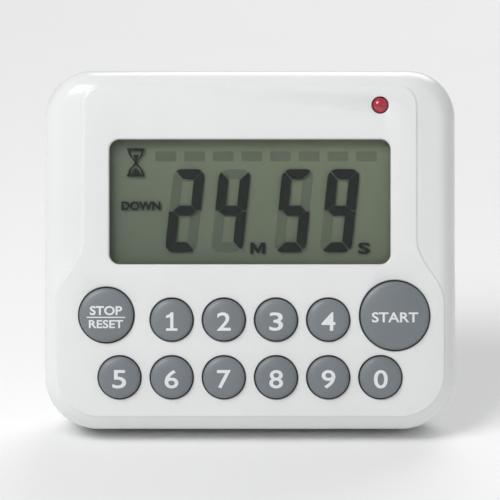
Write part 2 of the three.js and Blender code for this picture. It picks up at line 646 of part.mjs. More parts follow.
const ledTop = PLATEAU_DEPTH + 0.5;
add(timer, "indicator_led", turned([[0, BOARD_FRONT + FIT], [LED_RADIUS, BOARD_FRONT + FIT],
  [LED_RADIUS, ledTop - 1.1], [LED_RADIUS * 0.87, ledTop - 0.5], [LED_RADIUS * 0.5, ledTop - 0.1],
  [0, ledTop]], LED_X, LED_U), "red");
add(timer, "piezo_buzzer", rod(7, BOARD_BACK - FIT - 4, BOARD_BACK - FIT, 24, 50, 32), "dark");
add(timer, "controller_chip", box(-29, -19, 49, 59, BOARD_BACK - FIT - 1.6, BOARD_BACK - FIT), "dark");
add(timer, "timing_crystal", crossRod(1.4, -16, -8.5, 61, BOARD_BACK - FIT - 1.4, 20), "steel");

add(timer, "battery_lower", battery(cellLow, 1), "dark");
add(timer, "battery_upper", battery(cellHigh, -1), "dark");
add(timer, "bridge_contact", contactPlate(-1, cellLow - 4, cellHigh + 4), "steel");
add(timer, "positive_contact", contactPlate(1, cellLow - 4, cellLow + 4), "steel");
add(timer, "negative_contact", contactPlate(1, cellHigh - 4, cellHigh + 4), "steel");
add(timer, "battery_spring_lower", spring(-1, cellLow), "steel");
add(timer, "battery_spring_upper", spring(1, cellHigh), "steel");
add(timer, "lead_positive", lead(1, cellLow, [[BAY_HALF + 3, BOARD_BACK - 3, cellLow + 6],
  [BAY_HALF + 3, BOARD_BACK - 0.9, cellLow + 14]]), "red");
add(timer, "lead_negative", lead(1, cellHigh, [[BAY_HALF + 3, BOARD_BACK - 3, cellHigh + 5],
  [BAY_HALF + 3, BOARD_BACK - 0.9, cellHigh + 11]]), "dark");

screws.forEach(([x, u], i) => {
  const profile = [[0, HEAD_SUNK], [SCREW_HEAD * 0.8, HEAD_SUNK], [SCREW_HEAD, HEAD_SUNK + 0.5],
    [SCREW_HEAD, HEAD_SUNK + 1.6], [SCREW_RADIUS, HEAD_SUNK + 1.6], [SCREW_RADIUS, BAND_INNER - 0.6],
    [0, BAND_INNER - 0.2]];
  add(timer, "case_screw_" + (i + 1), turned(profile, x, u, 20), "steel");
});
boardScrews.forEach(([x, u], i) => {
  const head = BOARD_BACK - FIT;
  const profile = [[0, head - 1.2], [1.8, head - 1.2], [1.8, head], [SCREW_RADIUS, head],
    [SCREW_RADIUS, BAND_INNER - 0.4], [0, BAND_INNER - 0.2]];
  add(timer, "board_screw_" + (i + 1), turned(profile, x, u, 20), "steel");
});

add(timer, "stand_hinge_pin", crossRod(PIN_RADIUS, -RECESS_HALF - 2, RECESS_HALF + 2, PIVOT_U, PIVOT_D), "steel");
add(timer, "wire_stay", wireStay(), "steel");
add(stand, "stand_arm", standArm(), "white");
add(stand, "magnet_pad", magnetPad(), "pad");

// The origin is under the middle of the whole timer, on the table.
const part = new THREE.Group();
part.name = "part";
part.add(timer);
part.updateMatrixWorld(true);
const extent = new THREE.Box3().setFromObject(part, true);
timer.position.set(0, -(extent.min.y + extent.max.y) / 2, -TABLE);

export default part;
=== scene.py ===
# %% [markdown]
# # A countdown timer with ten number keys
# The timer is a white two-part plastic case that leans back on a folding stand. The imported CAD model
# is the frame of this scene: it says where every piece is and how it moves. This script builds the
# visible pieces finely around that frame, one step at a time, and gives each its finish.

# %% Load the frame
import json
import math

import bmesh
import bpy
import numpy as np
from mathutils import Matrix, Vector

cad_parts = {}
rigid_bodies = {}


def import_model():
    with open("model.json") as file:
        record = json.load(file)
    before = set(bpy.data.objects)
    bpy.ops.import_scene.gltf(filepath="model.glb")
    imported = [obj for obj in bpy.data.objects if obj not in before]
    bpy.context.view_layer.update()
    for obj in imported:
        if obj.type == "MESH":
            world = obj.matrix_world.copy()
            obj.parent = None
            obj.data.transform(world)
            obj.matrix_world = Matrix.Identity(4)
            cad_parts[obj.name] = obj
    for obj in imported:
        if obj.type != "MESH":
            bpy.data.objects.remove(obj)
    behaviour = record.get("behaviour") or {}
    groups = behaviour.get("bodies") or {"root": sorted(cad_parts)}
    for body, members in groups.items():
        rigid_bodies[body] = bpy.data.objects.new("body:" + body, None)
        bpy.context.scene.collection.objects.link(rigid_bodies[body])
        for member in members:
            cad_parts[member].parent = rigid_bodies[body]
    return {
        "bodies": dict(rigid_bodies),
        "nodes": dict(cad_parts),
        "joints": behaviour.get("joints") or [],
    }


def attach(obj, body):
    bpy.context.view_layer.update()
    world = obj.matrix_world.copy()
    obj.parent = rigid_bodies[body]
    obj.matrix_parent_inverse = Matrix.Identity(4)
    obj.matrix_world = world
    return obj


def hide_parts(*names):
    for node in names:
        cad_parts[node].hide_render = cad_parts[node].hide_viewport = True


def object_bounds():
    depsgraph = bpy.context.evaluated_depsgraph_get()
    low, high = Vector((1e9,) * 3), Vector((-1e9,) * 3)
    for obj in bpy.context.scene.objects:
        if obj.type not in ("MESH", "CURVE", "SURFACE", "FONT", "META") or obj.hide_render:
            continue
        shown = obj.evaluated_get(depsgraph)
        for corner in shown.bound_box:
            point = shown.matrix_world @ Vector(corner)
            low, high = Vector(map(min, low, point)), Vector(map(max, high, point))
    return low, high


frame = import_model()
frame_objects = {o.name for o in [*frame["nodes"].values(), *frame["bodies"].values()]}
for leftover in [o for o in bpy.data.objects if o.name not in frame_objects]:
    bpy.data.objects.remove(leftover)
cad_low, cad_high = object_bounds()

# %% [markdown]
# ## Two drawing frames
# A leaning case is awkward to draw, so each piece is drawn upright, as on a drawing board: x to the
# right, u up and d forward from the back, in millimetres. One matrix then leans it and puts it in
# place. The lean is read from the way the keys move, and the place from the CAD cases themselves.
# The stand has a drawing frame of its own, folded flat, with its hinge at the origin.

# %% Work out the lean and the two matrices
joints = {j["name"]: j for j in frame["joints"]}
press_axis = Vector(joints["key_start_press"]["axis"])
LEAN = math.atan2(-press_axis.z, press_axis.y)
LEANING = Matrix.Rotation(-LEAN, 4, "X")
MM = Matrix.Scale(0.001, 4)


def corners_of(node, matrix):
    """The node's lowest and highest point in a drawing frame."""
    to_drawing = matrix.inverted()
    points = [to_drawing @ v.co for v in frame["nodes"][node].data.vertices]
    low = Vector(min(p[i] for p in points) for i in range(3))
    high = Vector(max(p[i] for p in points) for i in range(3))
    return low, high


back_plane = corners_of("back_case", LEANING)[1].y
case_bottom = corners_of("front_case", LEANING)[0].z
UPRIGHT = LEANING @ Matrix.Translation((0, back_plane, case_bottom)) @ MM
hinge = Vector(joints["back_stand_fold"]["pos_m"])
OPEN = math.radians(joints["back_stand_fold"]["range_deg"][1])
STAND = Matrix.Translation(hinge) @ LEANING @ Matrix.Rotation(OPEN, 4, "X") @ MM
print("lean", round(math.degrees(LEAN), 2), "degrees, stand open", round(math.degrees(OPEN), 1))

# %% Measure a node in the drawing frame


class Extent:
    """A node's box in the drawing frame: x0 to x1, u0 to u1 and d0 to d1, in millimetres."""

    def __init__(self, node, matrix):
        low, high = corners_of(node, matrix)
        self.x0, self.x1 = low.x, high.x
        self.u0, self.u1 = low.z, high.z
        self.d0, self.d1 = -high.y, -low.y
        self.x, self.u, self.d = (low.x + high.x) / 2, (low.z + high.z) / 2, -(low.y + high.y) / 2


def upright(node):
    return Extent(node, UPRIGHT)


front = upright("front_case")
WIDTH = front.x1 - front.x0
HEIGHT = front.u1 - front.u0
FACE = front.d1
print("case", round(WIDTH, 1), "x", round(HEIGHT, 1), "x", round(FACE, 1), "mm")

# %% [markdown]
# ## Helpers for making meshes
# Most of the pieces are skins stretched over rings of points: a loft. A ring is a closed outline at
# one depth. Turned pieces are lofts too, with round rings. Openings are cut by boolean modifiers,
# which are evaluated once, so that only a plain mesh is left.

# %% Lofts


def point(x, u, d):
    """A point of the drawing frame as Blender's x, y and z."""
    return (x, -d, u)


def link(name, mesh):
    obj = bpy.data.objects.new(name, mesh)
    bpy.context.scene.collection.objects.link(obj)
    return obj


def tidy(mesh, merge=0.0005):
    """Merges doubles, drops what collapsed and turns the faces outwards."""
    bm = bmesh.new()
    bm.from_mesh(mesh)
    bmesh.ops.remove_doubles(bm, verts=bm.verts, dist=merge)
    bmesh.ops.dissolve_degenerate(bm, edges=bm.edges, dist=merge / 10)
    bmesh.ops.recalc_face_normals(bm, faces=bm.faces)
    bm.to_mesh(mesh)
    bm.free()
    return mesh


def loft(name, rings):
    """A closed skin over rings of equally many points, with a cap on the first and the last."""
    count = len(rings[0])
    vertices = [p for ring in rings for p in ring]
    faces = [tuple(range(count)), tuple(range(len(vertices) - 1, len(vertices) - count - 1, -1))]
    for r in range(len(rings) - 1):
        for i in range(count):
            j = (i + 1) % count
            low, high = r * count, (r + 1) * count
            faces.append((low + i, high + i, high + j, low + j))
    mesh = bpy.data.meshes.new(name)
    mesh.from_pydata(vertices, [], faces)
    return link(name, tidy(mesh))


def prism(name, outline, d0, d1, flare=0.0, flare_from=None):
    """An outline from depth d0 to d1. A flare widens it round an opening at depth flare_from."""
    rings = []
    if flare and flare_from is not None:
        outward = -1 if flare_from < (d0 + d1) / 2 else 1
        start, end = (d1, d0) if outward < 0 else (d0, d1)
        rings.append([point(x, u, start) for x, u in outline(0)])
        for step in range(5):
            angle = step / 4 * math.pi / 2
            depth = flare_from - outward * flare * (1 - math.sin(angle))
            grow = flare * (1 - math.cos(angle))
            rings.append([point(x, u, depth) for x, u in outline(grow)])
        rings.append([point(x, u, end) for x, u in outline(flare)])
    else:
        rings = [[point(x, u, d) for x, u in outline(0)] for d in (d0, d1)]
    return loft(name, rings)


def block(x0, x1, u0, u1, d0, d1):
    ring = [(x0, u0), (x1, u0), (x1, u1), (x0, u1)]
    return loft("block", [[point(x, u, d) for x, u in ring] for d in (d0, d1)])


def lathe(name, profile, x, u, segments=96):
    """A piece turned about a line along d: its profile is a list of (radius, depth)."""
    turns = [2 * math.pi * i / segments for i in range(segments)]
    rings = [
        [point(x + max(r, 0.002) * math.cos(a), u + max(r, 0.002) * math.sin(a), d) for a in turns]
        for r, d in profile
    ]
    return loft(name, rings)


def cross_lathe(name, profile, u, d, segments=48):
    """A piece turned about a line along x: its profile is a list of (radius, x)."""
    turns = [2 * math.pi * i / segments for i in range(segments)]
    rings = [
        [point(x, u + max(r, 0.002) * math.cos(a), d + max(r, 0.002) * math.sin(a)) for a in turns]
        for r, x in profile
    ]
    return loft(name, rings)


def rod(radius, d0, d1, x, u, segments=48):
    return lathe("rod", [(radius, d0), (radius, d1)], x, u, segments)


def cross_rod(radius, x0, x1, u, d, segments=48):
    return cross_lathe("cross_rod", [(radius, x0), (radius, x1)], u, d, segments)


# %% Booleans, placing and shading


def flatten(obj):
    """Evaluates the modifiers once and leaves a plain mesh."""
    bpy.context.view_layer.update()
    depsgraph = bpy.context.evaluated_depsgraph_get()
    mesh = bpy.data.meshes.new_from_object(obj.evaluated_get(depsgraph), depsgraph=depsgraph)
    obj.modifiers.clear()
    old = obj.data
    obj.data = mesh
    bpy.data.meshes.remove(old)
    mesh.name = obj.name
    return obj


def carve(obj, tools, operation):
    """Joins the tools to the piece, cuts them out of it or keeps what they share, in turn."""
    for tool in tools:
        modifier = obj.modifiers.new("carve", "BOOLEAN")
        modifier.operation = operation
        modifier.solver = "MANIFOLD"
        modifier.object = tool
    flatten(obj)
    for tool in tools:
        bpy.data.objects.remove(tool)
    return obj


def joined(obj, *tools):
    return carve(obj, tools, "UNION")


def cut(obj, *tools):
    return carve(obj, tools, "DIFFERENCE")


def kept(obj, *tools):
    return carve(obj, tools, "INTERSECT")


def smooth(obj, angle=32):
    obj.data.polygons.foreach_set("use_smooth", [True] * len(obj.data.polygons))
    obj.data.set_sharp_from_angle(angle=math.radians(angle))
    return obj


def place(obj, matrix, angle=32):
    """Moves a drawn piece to its real place, in metres, with its object left at the origin."""
    obj.data.transform(matrix)
    tidy(obj.data, merge=0.0000002)
    return smooth(obj, angle)


def table_block(matrix):
    """The table under the timer, seen from a drawing frame, to cut the flats that it rests on."""
    tool = block(-0.2, 0.2, -0.05, 0, -0.2, 0.2)
    tool.data.transform(matrix.inverted())
    tidy(tool.data)
    return tool


made = []


def keep(obj, body, slot, material, *nodes):
    """Hands a finished piece over: its body, its finish and the CAD nodes it stands for. The slot is not
    used.
    """
    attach(obj, body)
    if nodes:
        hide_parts(*nodes)
    obj.data.materials.clear()
    obj.data.materials.append(material)
    made.append(obj)
    faces = sum(len(p.vertices) - 2 for p in obj.data.polygons)
    print(obj.name, "rides on", body, "with", faces, "triangles")
    return obj


# %% [markdown]
# ## Finishes
# A finish is more than its colour. Moulded plastic has a fine orange-peel skin and is a little
# glossier in some places than in others, because hands polish it. Two shader groups make those
# effects from Object coordinates, so that they stay on the piece when it moves, and each finish
# uses them with values of its own. Constants such as the coat or the specular level are set on
# the shader itself.

# %% Shared shader groups


def new_group(name, inputs, outputs):
    group = bpy.data.node_groups.new(name, "ShaderNodeTree")
    for label, kind, value in inputs:
        socket = group.interface.new_socket(label, in_out="INPUT", socket_type=kind)
        socket.default_value = value
    for label, kind in outputs:
        group.interface.new_socket(label, in_out="OUTPUT", socket_type=kind)
    return group, group.nodes.new("NodeGroupInput"), group.nodes.new("NodeGroupOutput")


def noise(tree, vector, scale, detail=2.0, rough=0.5):
    node = tree.nodes.new("ShaderNodeTexNoise")
    node.inputs["Detail"].default_value = detail
    node.inputs["Roughness"].default_value = rough
    tree.links.new(vector, node.inputs["Vector"])
    if isinstance(scale, (int, float)):
        node.inputs["Scale"].default_value = scale
    else:
        tree.links.new(scale, node.inputs["Scale"])
    return node.outputs["Fac"]


def spread(tree, value, low, high):
    """Maps a value from 0..1 to low..high."""
    node = tree.nodes.new("ShaderNodeMapRange")
    tree.links.new(value, node.inputs["Value"])
    for label, number in (("From Min", 0.3), ("From Max", 0.7)):
        node.inputs[label].default_value = number
    for label, number in (("To Min", low), ("To Max", high)):
        if isinstance(number, (int, float)):
            node.inputs[label].default_value = number
        else:
            tree.links.new(number, node.inputs[label])
    return node.outputs["Result"]


def make_handled_group():
    """Polish left by hands: broad soft patches and a few finer smears, as a roughness value."""
    group, given, result = new_group(
        "handled_gloss",
        [("Smooth", "NodeSocketFloat", 0.2), ("Worn", "NodeSocketFloat", 0.3)],
        [("Roughness", "NodeSocketFloat")],
    )
    coordinates = group.nodes.new("ShaderNodeTexCoord").outputs["Object"]
    broad = noise(group, coordinates, 38.0, 3.0)
    fine = noise(group, coordinates, 420.0, 4.0, 0.6)
    mixed = group.nodes.new("ShaderNodeMix")
    mixed.inputs["Factor"].default_value = 0.35
    group.links.new(broad, mixed.inputs["A"])
    group.links.new(fine, mixed.inputs["B"])
    rough = spread(group, mixed.outputs["Result"], given.outputs["Smooth"], given.outputs["Worn"])
    group.links.new(rough, result.inputs["Roughness"])
    return group


def make_skin_group():
    """The skin of a moulding: a very fine grain over long shallow flow waves, as a height."""
    group, given, result = new_group(
        "moulded_skin",
        [("Grain Scale", "NodeSocketFloat", 2500.0), ("Waves", "NodeSocketFloat", 0.3)],
        [("Height", "NodeSocketFloat")],
    )
    coordinates = group.nodes.new("ShaderNodeTexCoord").outputs["Object"]
    grain = noise(group, coordinates, given.outputs["Grain Scale"], 2.0)
    waves = noise(group, coordinates, 90.0, 1.0)
    mixed = group.nodes.new("ShaderNodeMix")
    group.links.new(given.outputs["Waves"], mixed.inputs["Factor"])
    group.links.new(grain, mixed.inputs["A"])
    group.links.new(waves, mixed.inputs["B"])
    group.links.new(mixed.outputs["Result"], result.inputs["Height"])
    return group


def make_tone_group():
    """Slight drift of a colour over the surface, between a tone and its shade."""
    group, given, result = new_group(
        "tone_drift",
        [
            ("Tone", "NodeSocketColor", (0.8, 0.8, 0.8, 1)),
            ("Shade", "NodeSocketColor", (0.7, 0.7, 0.7, 1)),
            ("Scale", "NodeSocketFloat", 60.0),
        ],
        [("Color", "NodeSocketColor")],
    )
    coordinates = group.nodes.new("ShaderNodeTexCoord").outputs["Object"]
    drift = spread(group, noise(group, coordinates, given.outputs["Scale"], 4.0), 0.0, 1.0)
    mixed = group.nodes.new("ShaderNodeMix")
    mixed.data_type = "RGBA"
    group.links.new(drift, mixed.inputs["Factor"])
    group.links.new(given.outputs["Tone"], mixed.inputs[6])
    group.links.new(given.outputs["Shade"], mixed.inputs[7])
    group.links.new(mixed.outputs[2], result.inputs["Color"])
    return group


HANDLED = make_handled_group()
SKIN = make_skin_group()
TONE = make_tone_group()
print("shader groups:", HANDLED.name, SKIN.name, TONE.name)

# %% The common finish


class Finish:
    """A material with one Principled shader whose inputs are fed by the shared groups."""

    def __init__(self, name, **constants):
        self.material = bpy.data.materials.new(name)
        self.material.use_nodes = True
        self.tree = self.material.node_tree
        self.shader = self.tree.nodes["Principled BSDF"]
        for label, value in constants.items():
            self.shader.inputs[label.replace("_", " ")].default_value = value

    def node(self, kind):
        return self.tree.nodes.new(kind)

    def group(self, tree, **values):
        node = self.node("ShaderNodeGroup")
        node.node_tree = tree
        for label, value in values.items():
            node.inputs[label.replace("_", " ")].default_value = value
        return node

    def tone(self, tone, shade, scale=60.0):
        node = self.group(TONE, Tone=(*tone, 1), Shade=(*shade, 1), Scale=scale)
        self.tree.links.new(node.outputs["Color"], self.shader.inputs["Base Color"])

    def gloss(self, low, high):
        node = self.group(HANDLED, Smooth=low, Worn=high)
        self.tree.links.new(node.outputs["Roughness"], self.shader.inputs["Roughness"])

    def bump(self, height, strength, distance):
        node = self.node("ShaderNodeBump")
        node.inputs["Strength"].default_value = strength
        node.inputs["Distance"].default_value = distance
        self.tree.links.new(height, node.inputs["Height"])
        self.tree.links.new(node.outputs["Normal"], self.shader.inputs["Normal"])

    def skin(self, scale, waves, strength, distance=0.00002):
        node = self.group(SKIN, Grain_Scale=scale, Waves=waves)
        self.bump(node.outputs["Height"], strength, distance)

    def object_coordinates(self, turned=0.0):
        """Object coordinates, turned about x so that the leaning case is upright in them."""
        mapping = self.node("ShaderNodeMapping")
        mapping.inputs["Rotation"].default_value = (turned, 0, 0)
        source = self.node("ShaderNodeTexCoord").outputs["Object"]
        self.tree.links.new(source, mapping.inputs["Vector"])
        return mapping.outputs["Vector"]

    def axis(self, vector, label):
        node = self.node("ShaderNodeSeparateXYZ")
        self.tree.links.new(vector, node.inputs["Vector"])
        return node.outputs[label]

    def ramp(self, value, stops):
        node = self.node("ShaderNodeValToRGB")
        while len(node.color_ramp.elements) < len(stops):
            node.color_ramp.elements.new(0.5)
        for element, (position, color) in zip(node.color_ramp.elements, stops):
            element.position = position
            element.color = (*color, 1)
        self.tree.links.new(value, node.inputs["Fac"])
        return node.outputs["Color"]

    def range(self, value, low, high):
        """Maps low..high to 0..1."""
        node = self.node("ShaderNodeMapRange")
        node.inputs["From Min"].default_value = low
        node.inputs["From Max"].default_value = high
        self.tree.links.new(value, node.inputs["Value"])
        return node.outputs["Result"]

    def color(self, output):
        self.tree.links.new(output, self.shader.inputs["Base Color"])


# %% Plastics


def moulded(name, tone, shade, gloss, grain=2600.0, waves=0.25, strength=0.12, **constants):
    finish = Finish(name, **constants)
    finish.tone(tone, shade)
    finish.gloss(*gloss)
    finish.skin(grain, waves, strength)
    return finish.material


case_white = moulded("case_white", (0.80, 0.81, 0.81), (0.775, 0.785, 0.785), (0.17, 0.26),
                     Specular_IOR_Level=0.5)
stand_white = moulded("stand_white", (0.78, 0.79, 0.79), (0.76, 0.77, 0.77), (0.22, 0.30), 2600.0, 0.06, 0.04)
key_grey = moulded("key_grey", (0.196, 0.216, 0.232), (0.172, 0.190, 0.205), (0.34, 0.46), 3200.0, 0.1, 0.3)
legend_white = moulded("legend_white", (0.80, 0.82, 0.84), (0.72, 0.74, 0.77), (0.4, 0.55), 4000.0, 0.0, 0.2)
magnet_dark = moulded("magnet_dark", (0.04, 0.045, 0.05), (0.028, 0.031, 0.036), (0.5, 0.68),
                      1800.0, 0.2, 0.6)
rubber_grey = moulded("rubber_grey", (0.4, 0.42, 0.44), (0.34, 0.36, 0.38), (0.55, 0.7), 2000.0, 0.2, 0.3)
epoxy_black = moulded("epoxy_black", (0.018, 0.018, 0.02), (0.03, 0.03, 0.032), (0.4, 0.6), 2400.0, 0.1, 0.5)
lead_red = moulded("lead_red", (0.42, 0.02, 0.02), (0.34, 0.015, 0.015), (0.35, 0.5))
lead_black = moulded("lead_black", (0.02, 0.02, 0.02), (0.03, 0.03, 0.03), (0.35, 0.5))
print("plastics and rubbers are ready")

# %% [markdown]
# ### Metals, glass and the rest
# Drawn wire and plated sheet are metal with fine scratches. The display's film is a dull mirror whose
# colour is painted darker at lower left and lighter towards the upper right, as painted shade and
# painted light. The clear window in front of it is modelled as a thin glossy layer that lets nearly
# all light through, which stays clean where true refraction would be noisy. The cells have a printed
# sleeve with a coloured band, placed by their own length.

# %% Metals, window and display finishes


def metal(name, tone, shade, gloss, strength=0.25):
    finish = Finish(name, Metallic=1.0)
    finish.tone(tone, shade, 300.0)
    finish.gloss(*gloss)
    stretched = finish.object_coordinates()
    stretched.node.inputs["Scale"].default_value = (1.0, 14.0, 14.0)
    grain = noise(finish.tree, stretched, 500.0, 3.0)
    finish.bump(grain, strength, 0.00003)
    return finish.material


screw_steel = metal("screw_steel", (0.5, 0.5, 0.5), (0.36, 0.36, 0.37), (0.28, 0.45))
pin_steel = metal("pin_steel", (0.62, 0.62, 0.63), (0.5, 0.5, 0.51), (0.14, 0.28), 0.12)
contact_nickel = metal("contact_nickel", (0.62, 0.6, 0.56), (0.5, 0.48, 0.44), (0.22, 0.36))
crystal_steel = metal("crystal_steel", (0.6, 0.6, 0.6), (0.5, 0.5, 0.5), (0.2, 0.32))


def window_finish():
    finish = Finish("window_clear", Alpha=0.07, Specular_IOR_Level=0.5)
    finish.tone((0.10, 0.12, 0.11), (0.08, 0.10, 0.09))
    finish.gloss(0.03, 0.07)
    return finish.material


def film_finish(name, light, dark):
    """The display's film, with painted light: darker at lower left as painted shade, lighter towards the
    upper right as painted light.
    """
    finish = Finish(name, Specular_IOR_Level=0.12)
    # Painted light: the colour runs from painted shade at lower left to painted light towards the upper
    # right.
    turned = finish.object_coordinates(LEAN)
    across = finish.range(finish.axis(turned, "X"), -0.030, 0.030)
    up = finish.range(finish.axis(turned, "Z"), 0.028, 0.060)
    painted_light_slope = finish.node("ShaderNodeMath")
    painted_light_slope.operation = "ADD"
    finish.tree.links.new(across, painted_light_slope.inputs[0])
    finish.tree.links.new(up, painted_light_slope.inputs[1])
    sparkle = noise(finish.tree, finish.object_coordinates(), 5200.0, 2.0)
    wobble = finish.node("ShaderNodeMath")
    wobble.operation = "MULTIPLY_ADD"
    wobble.inputs[1].default_value = 0.35
    finish.tree.links.new(sparkle, wobble.inputs[0])
    finish.tree.links.new(painted_light_slope.outputs[0], wobble.inputs[2])
    value = finish.range(wobble.outputs[0], 0.0, 2.35)
    finish.color(finish.ramp(value, [(0.0, dark), (1.0, light)]))
    finish.gloss(0.35, 0.45)
    finish.bump(sparkle, 0.03, 0.000004)
    return finish.material


window_clear = window_finish()
# Both films, the lit one and the faint one, carry painted shade at lower left and painted light towards the
# upper right.
lcd_film = film_finish("lcd_film", (0.240, 0.275, 0.185), (0.125, 0.152, 0.115))
lcd_faint = film_finish("lcd_faint", (0.168, 0.196, 0.138), (0.088, 0.110, 0.085))
lcd_ink = moulded("lcd_ink", (0.012, 0.014, 0.014), (0.017, 0.019, 0.018), (0.4, 0.5), 3000.0, 0.0, 0.05,
                  Specular_IOR_Level=0.12)
led_red = moulded("led_red", (0.42, 0.018, 0.045), (0.34, 0.012, 0.035), (0.08, 0.14), 800.0, 0.5, 0.03,
                  Coat_Weight=0.6, Coat_Roughness=0.05)
print("metals and display finishes are ready")

# %% Cells and board


def cell_finish():
    """A printed sleeve: dark along most of the cell, with a red band towards one end."""
    finish = Finish("battery_wrap", Coat_Weight=0.4, Coat_Roughness=0.1)
    along = finish.range(finish.axis(finish.object_coordinates(), "X"), -0.0225, 0.0225)
    bands = [
        (0.0, (0.02, 0.02, 0.022)), (0.30, (0.02, 0.02, 0.022)), (0.31, (0.45, 0.35, 0.2)),
        (0.325, (0.5, 0.03, 0.03)), (0.56, (0.5, 0.03, 0.03)), (0.575, (0.45, 0.35, 0.2)),
        (0.59, (0.02, 0.02, 0.022)), (1.0, (0.02, 0.02, 0.022)),
    ]
    finish.color(finish.ramp(along, bands))
    finish.gloss(0.18, 0.3)
    finish.skin(1500.0, 0.5, 0.08)
    return finish.material


def board_finish():
    """Solder mask with the faint relief of tracks under it."""
    finish = Finish("board_green")
    finish.tone((0.02, 0.12, 0.045), (0.03, 0.16, 0.06), 500.0)
    finish.gloss(0.25, 0.4)
    tracks = finish.node("ShaderNodeTexBrick")
    tracks.inputs["Scale"].default_value = 220.0
    finish.tree.links.new(finish.object_coordinates(LEAN), tracks.inputs["Vector"])
    finish.bump(tracks.outputs["Fac"], 0.4, 0.00005)
    return finish.material


battery_wrap = cell_finish()
board_green = board_finish()
print("cell and board finishes are ready")

# %% [markdown]
# ## The outlines of the case
# Seen from the front, the case is a rectangle with round corners, a little rounder at the bottom.
# Its face is raised in one plate that is narrow beside the display and flares out around the keys.
# Every ring of the front skin has to have its points in the same directions from the middle, so
# both outlines are drawn densely first and then read at equal angles.

# %% Draw the outlines
ANGLES = 480
TOP_CORNER = 9.2
BOTTOM_CORNER = 10.6
WALL = 1.6
MIDDLE_U = HEIGHT / 2
BAND_WIDTH = 7.8  # from the side of the case to the raised face beside the display
HIP_WIDTH = 2.4  # the same beside the keys
glass = upright("display_window")
START = upright("key_start")
KEY_ROW = upright("key_1").u


def arc(x, u, radius, start, end, steps=24):
    turns = [math.radians(start + (end - start) * i / steps) for i in range(steps + 1)]
    return [(x + radius * math.cos(a), u + radius * math.sin(a)) for a in turns]


def bezier(p0, p1, p2, p3, steps=24):
    points = []
    for i in range(steps + 1):
        t = i / steps
        weights = ((1 - t) ** 3, 3 * t * (1 - t) ** 2, 3 * t * t * (1 - t), t**3)
        points.append(tuple(sum(w * p[k] for w, p in zip(weights, (p0, p1, p2, p3))) for k in (0, 1)))
    return points


def rounded(x0, x1, u0, u1, low, high=None, steps=24):
    """A rectangle with round corners, anticlockwise."""
    high = low if high is None else high
    return (
        arc(x1 - low, u0 + low, low, -90, 0, steps) + arc(x1 - high, u1 - high, high, 0, 90, steps)
        + arc(x0 + high, u1 - high, high, 90, 180, steps) + arc(x0 + low, u0 + low, low, 180, 270, steps)
    )


def case_outline(inset):
    low, high = max(BOTTOM_CORNER - inset, 0.3), max(TOP_CORNER - inset, 0.3)
    half = WIDTH / 2 - inset
    return rounded(-half, half, inset, HEIGHT - inset, low, high)


def plate_outline(inset):
    """The raised face."""
    neck, hip = WIDTH / 2 - BAND_WIDTH - inset, WIDTH / 2 - HIP_WIDTH - inset
    top, low = HEIGHT - 3.1 - inset, 2.6 + inset
    shoulder, corner = 3.8 - inset / 2, 8.6 - inset
    flare_top, flare_low = glass.u0 + 4.8, KEY_ROW + 3
    right = arc(hip - corner, low + corner, corner, -90, 0)
    right += bezier((hip, flare_low), (hip, flare_low + 5), (neck, flare_top - 5), (neck, flare_top))
    right += arc(neck - shoulder, top - shoulder, shoulder, 0, 90)
    return right + [(-x, u) for x, u in reversed(right)]


def at_angles(outline):
    """The outline read at equal angles about the middle of the face."""
    dense = []
    for (x0, u0), (x1, u1) in zip(outline, outline[1:] + outline[:1]):
        steps = max(1, int(math.hypot(x1 - x0, u1 - u0) / 0.1))
        dense += [(x0 + (x1 - x0) * k / steps, u0 + (u1 - u0) * k / steps) for k in range(steps)]
    angle = np.array([math.atan2(u - MIDDLE_U, x) for x, u in dense])
    radius = np.array([math.hypot(x, u - MIDDLE_U) for x, u in dense])
    order = np.argsort(angle)
    wanted = np.linspace(-math.pi, math.pi, ANGLES, endpoint=False)
    read = np.interp(wanted, angle[order], radius[order], period=2 * math.pi)
    return [(r * math.cos(a), MIDDLE_U + r * math.sin(a)) for r, a in zip(read, wanted)]


print("outlines drawn, raised face", round(WIDTH - 2 * HIP_WIDTH, 1), "mm wide at the keys")

# %% [markdown]
# ## Front case
# The front case is one thin moulding. Going inwards from its edge, the side rises straight, rolls
# over a 4 mm round onto the band, which slopes up gently, and a small S-shaped bank lifts the raised
# face above it. The outer skin and the inner wall are both made by the same rule with different
# sizes, and together they close into one shell.

# %% The rule for the depth of the face
FRONT_ROUND = 4.0
BANK_STEP = 0.32
BAND_SLOPE = 0.2  # how fast the band falls away from the raised face
BANK_OUTER = -0.3  # the bank starts this far outside the raised face's outline
BANK_INNER = 0.35


def side_inset(x, u, base):
    """How far a point lies inside the outline that is inset by base."""
    half_x, half_u = WIDTH / 2 - base, HEIGHT / 2 - base
    corner = (BOTTOM_CORNER if u < MIDDLE_U else TOP_CORNER) - base
    qx, qu = abs(x) - half_x + corner, abs(u - MIDDLE_U) - half_u + corner
    outside = math.hypot(max(qx, 0), max(qu, 0)) + min(max(qx, qu), 0) - corner
    return -outside


def rolled(x, u, base, radius, level):
    """The depth of the rolled edge and of the band inside it."""
    left = max(radius - max(side_inset(x, u, base), 0), 0)
    return level - radius + math.sqrt(max(radius * radius - left * left, 0))


def bank(t):
    return t * t * t * (t * (6 * t - 15) + 10)


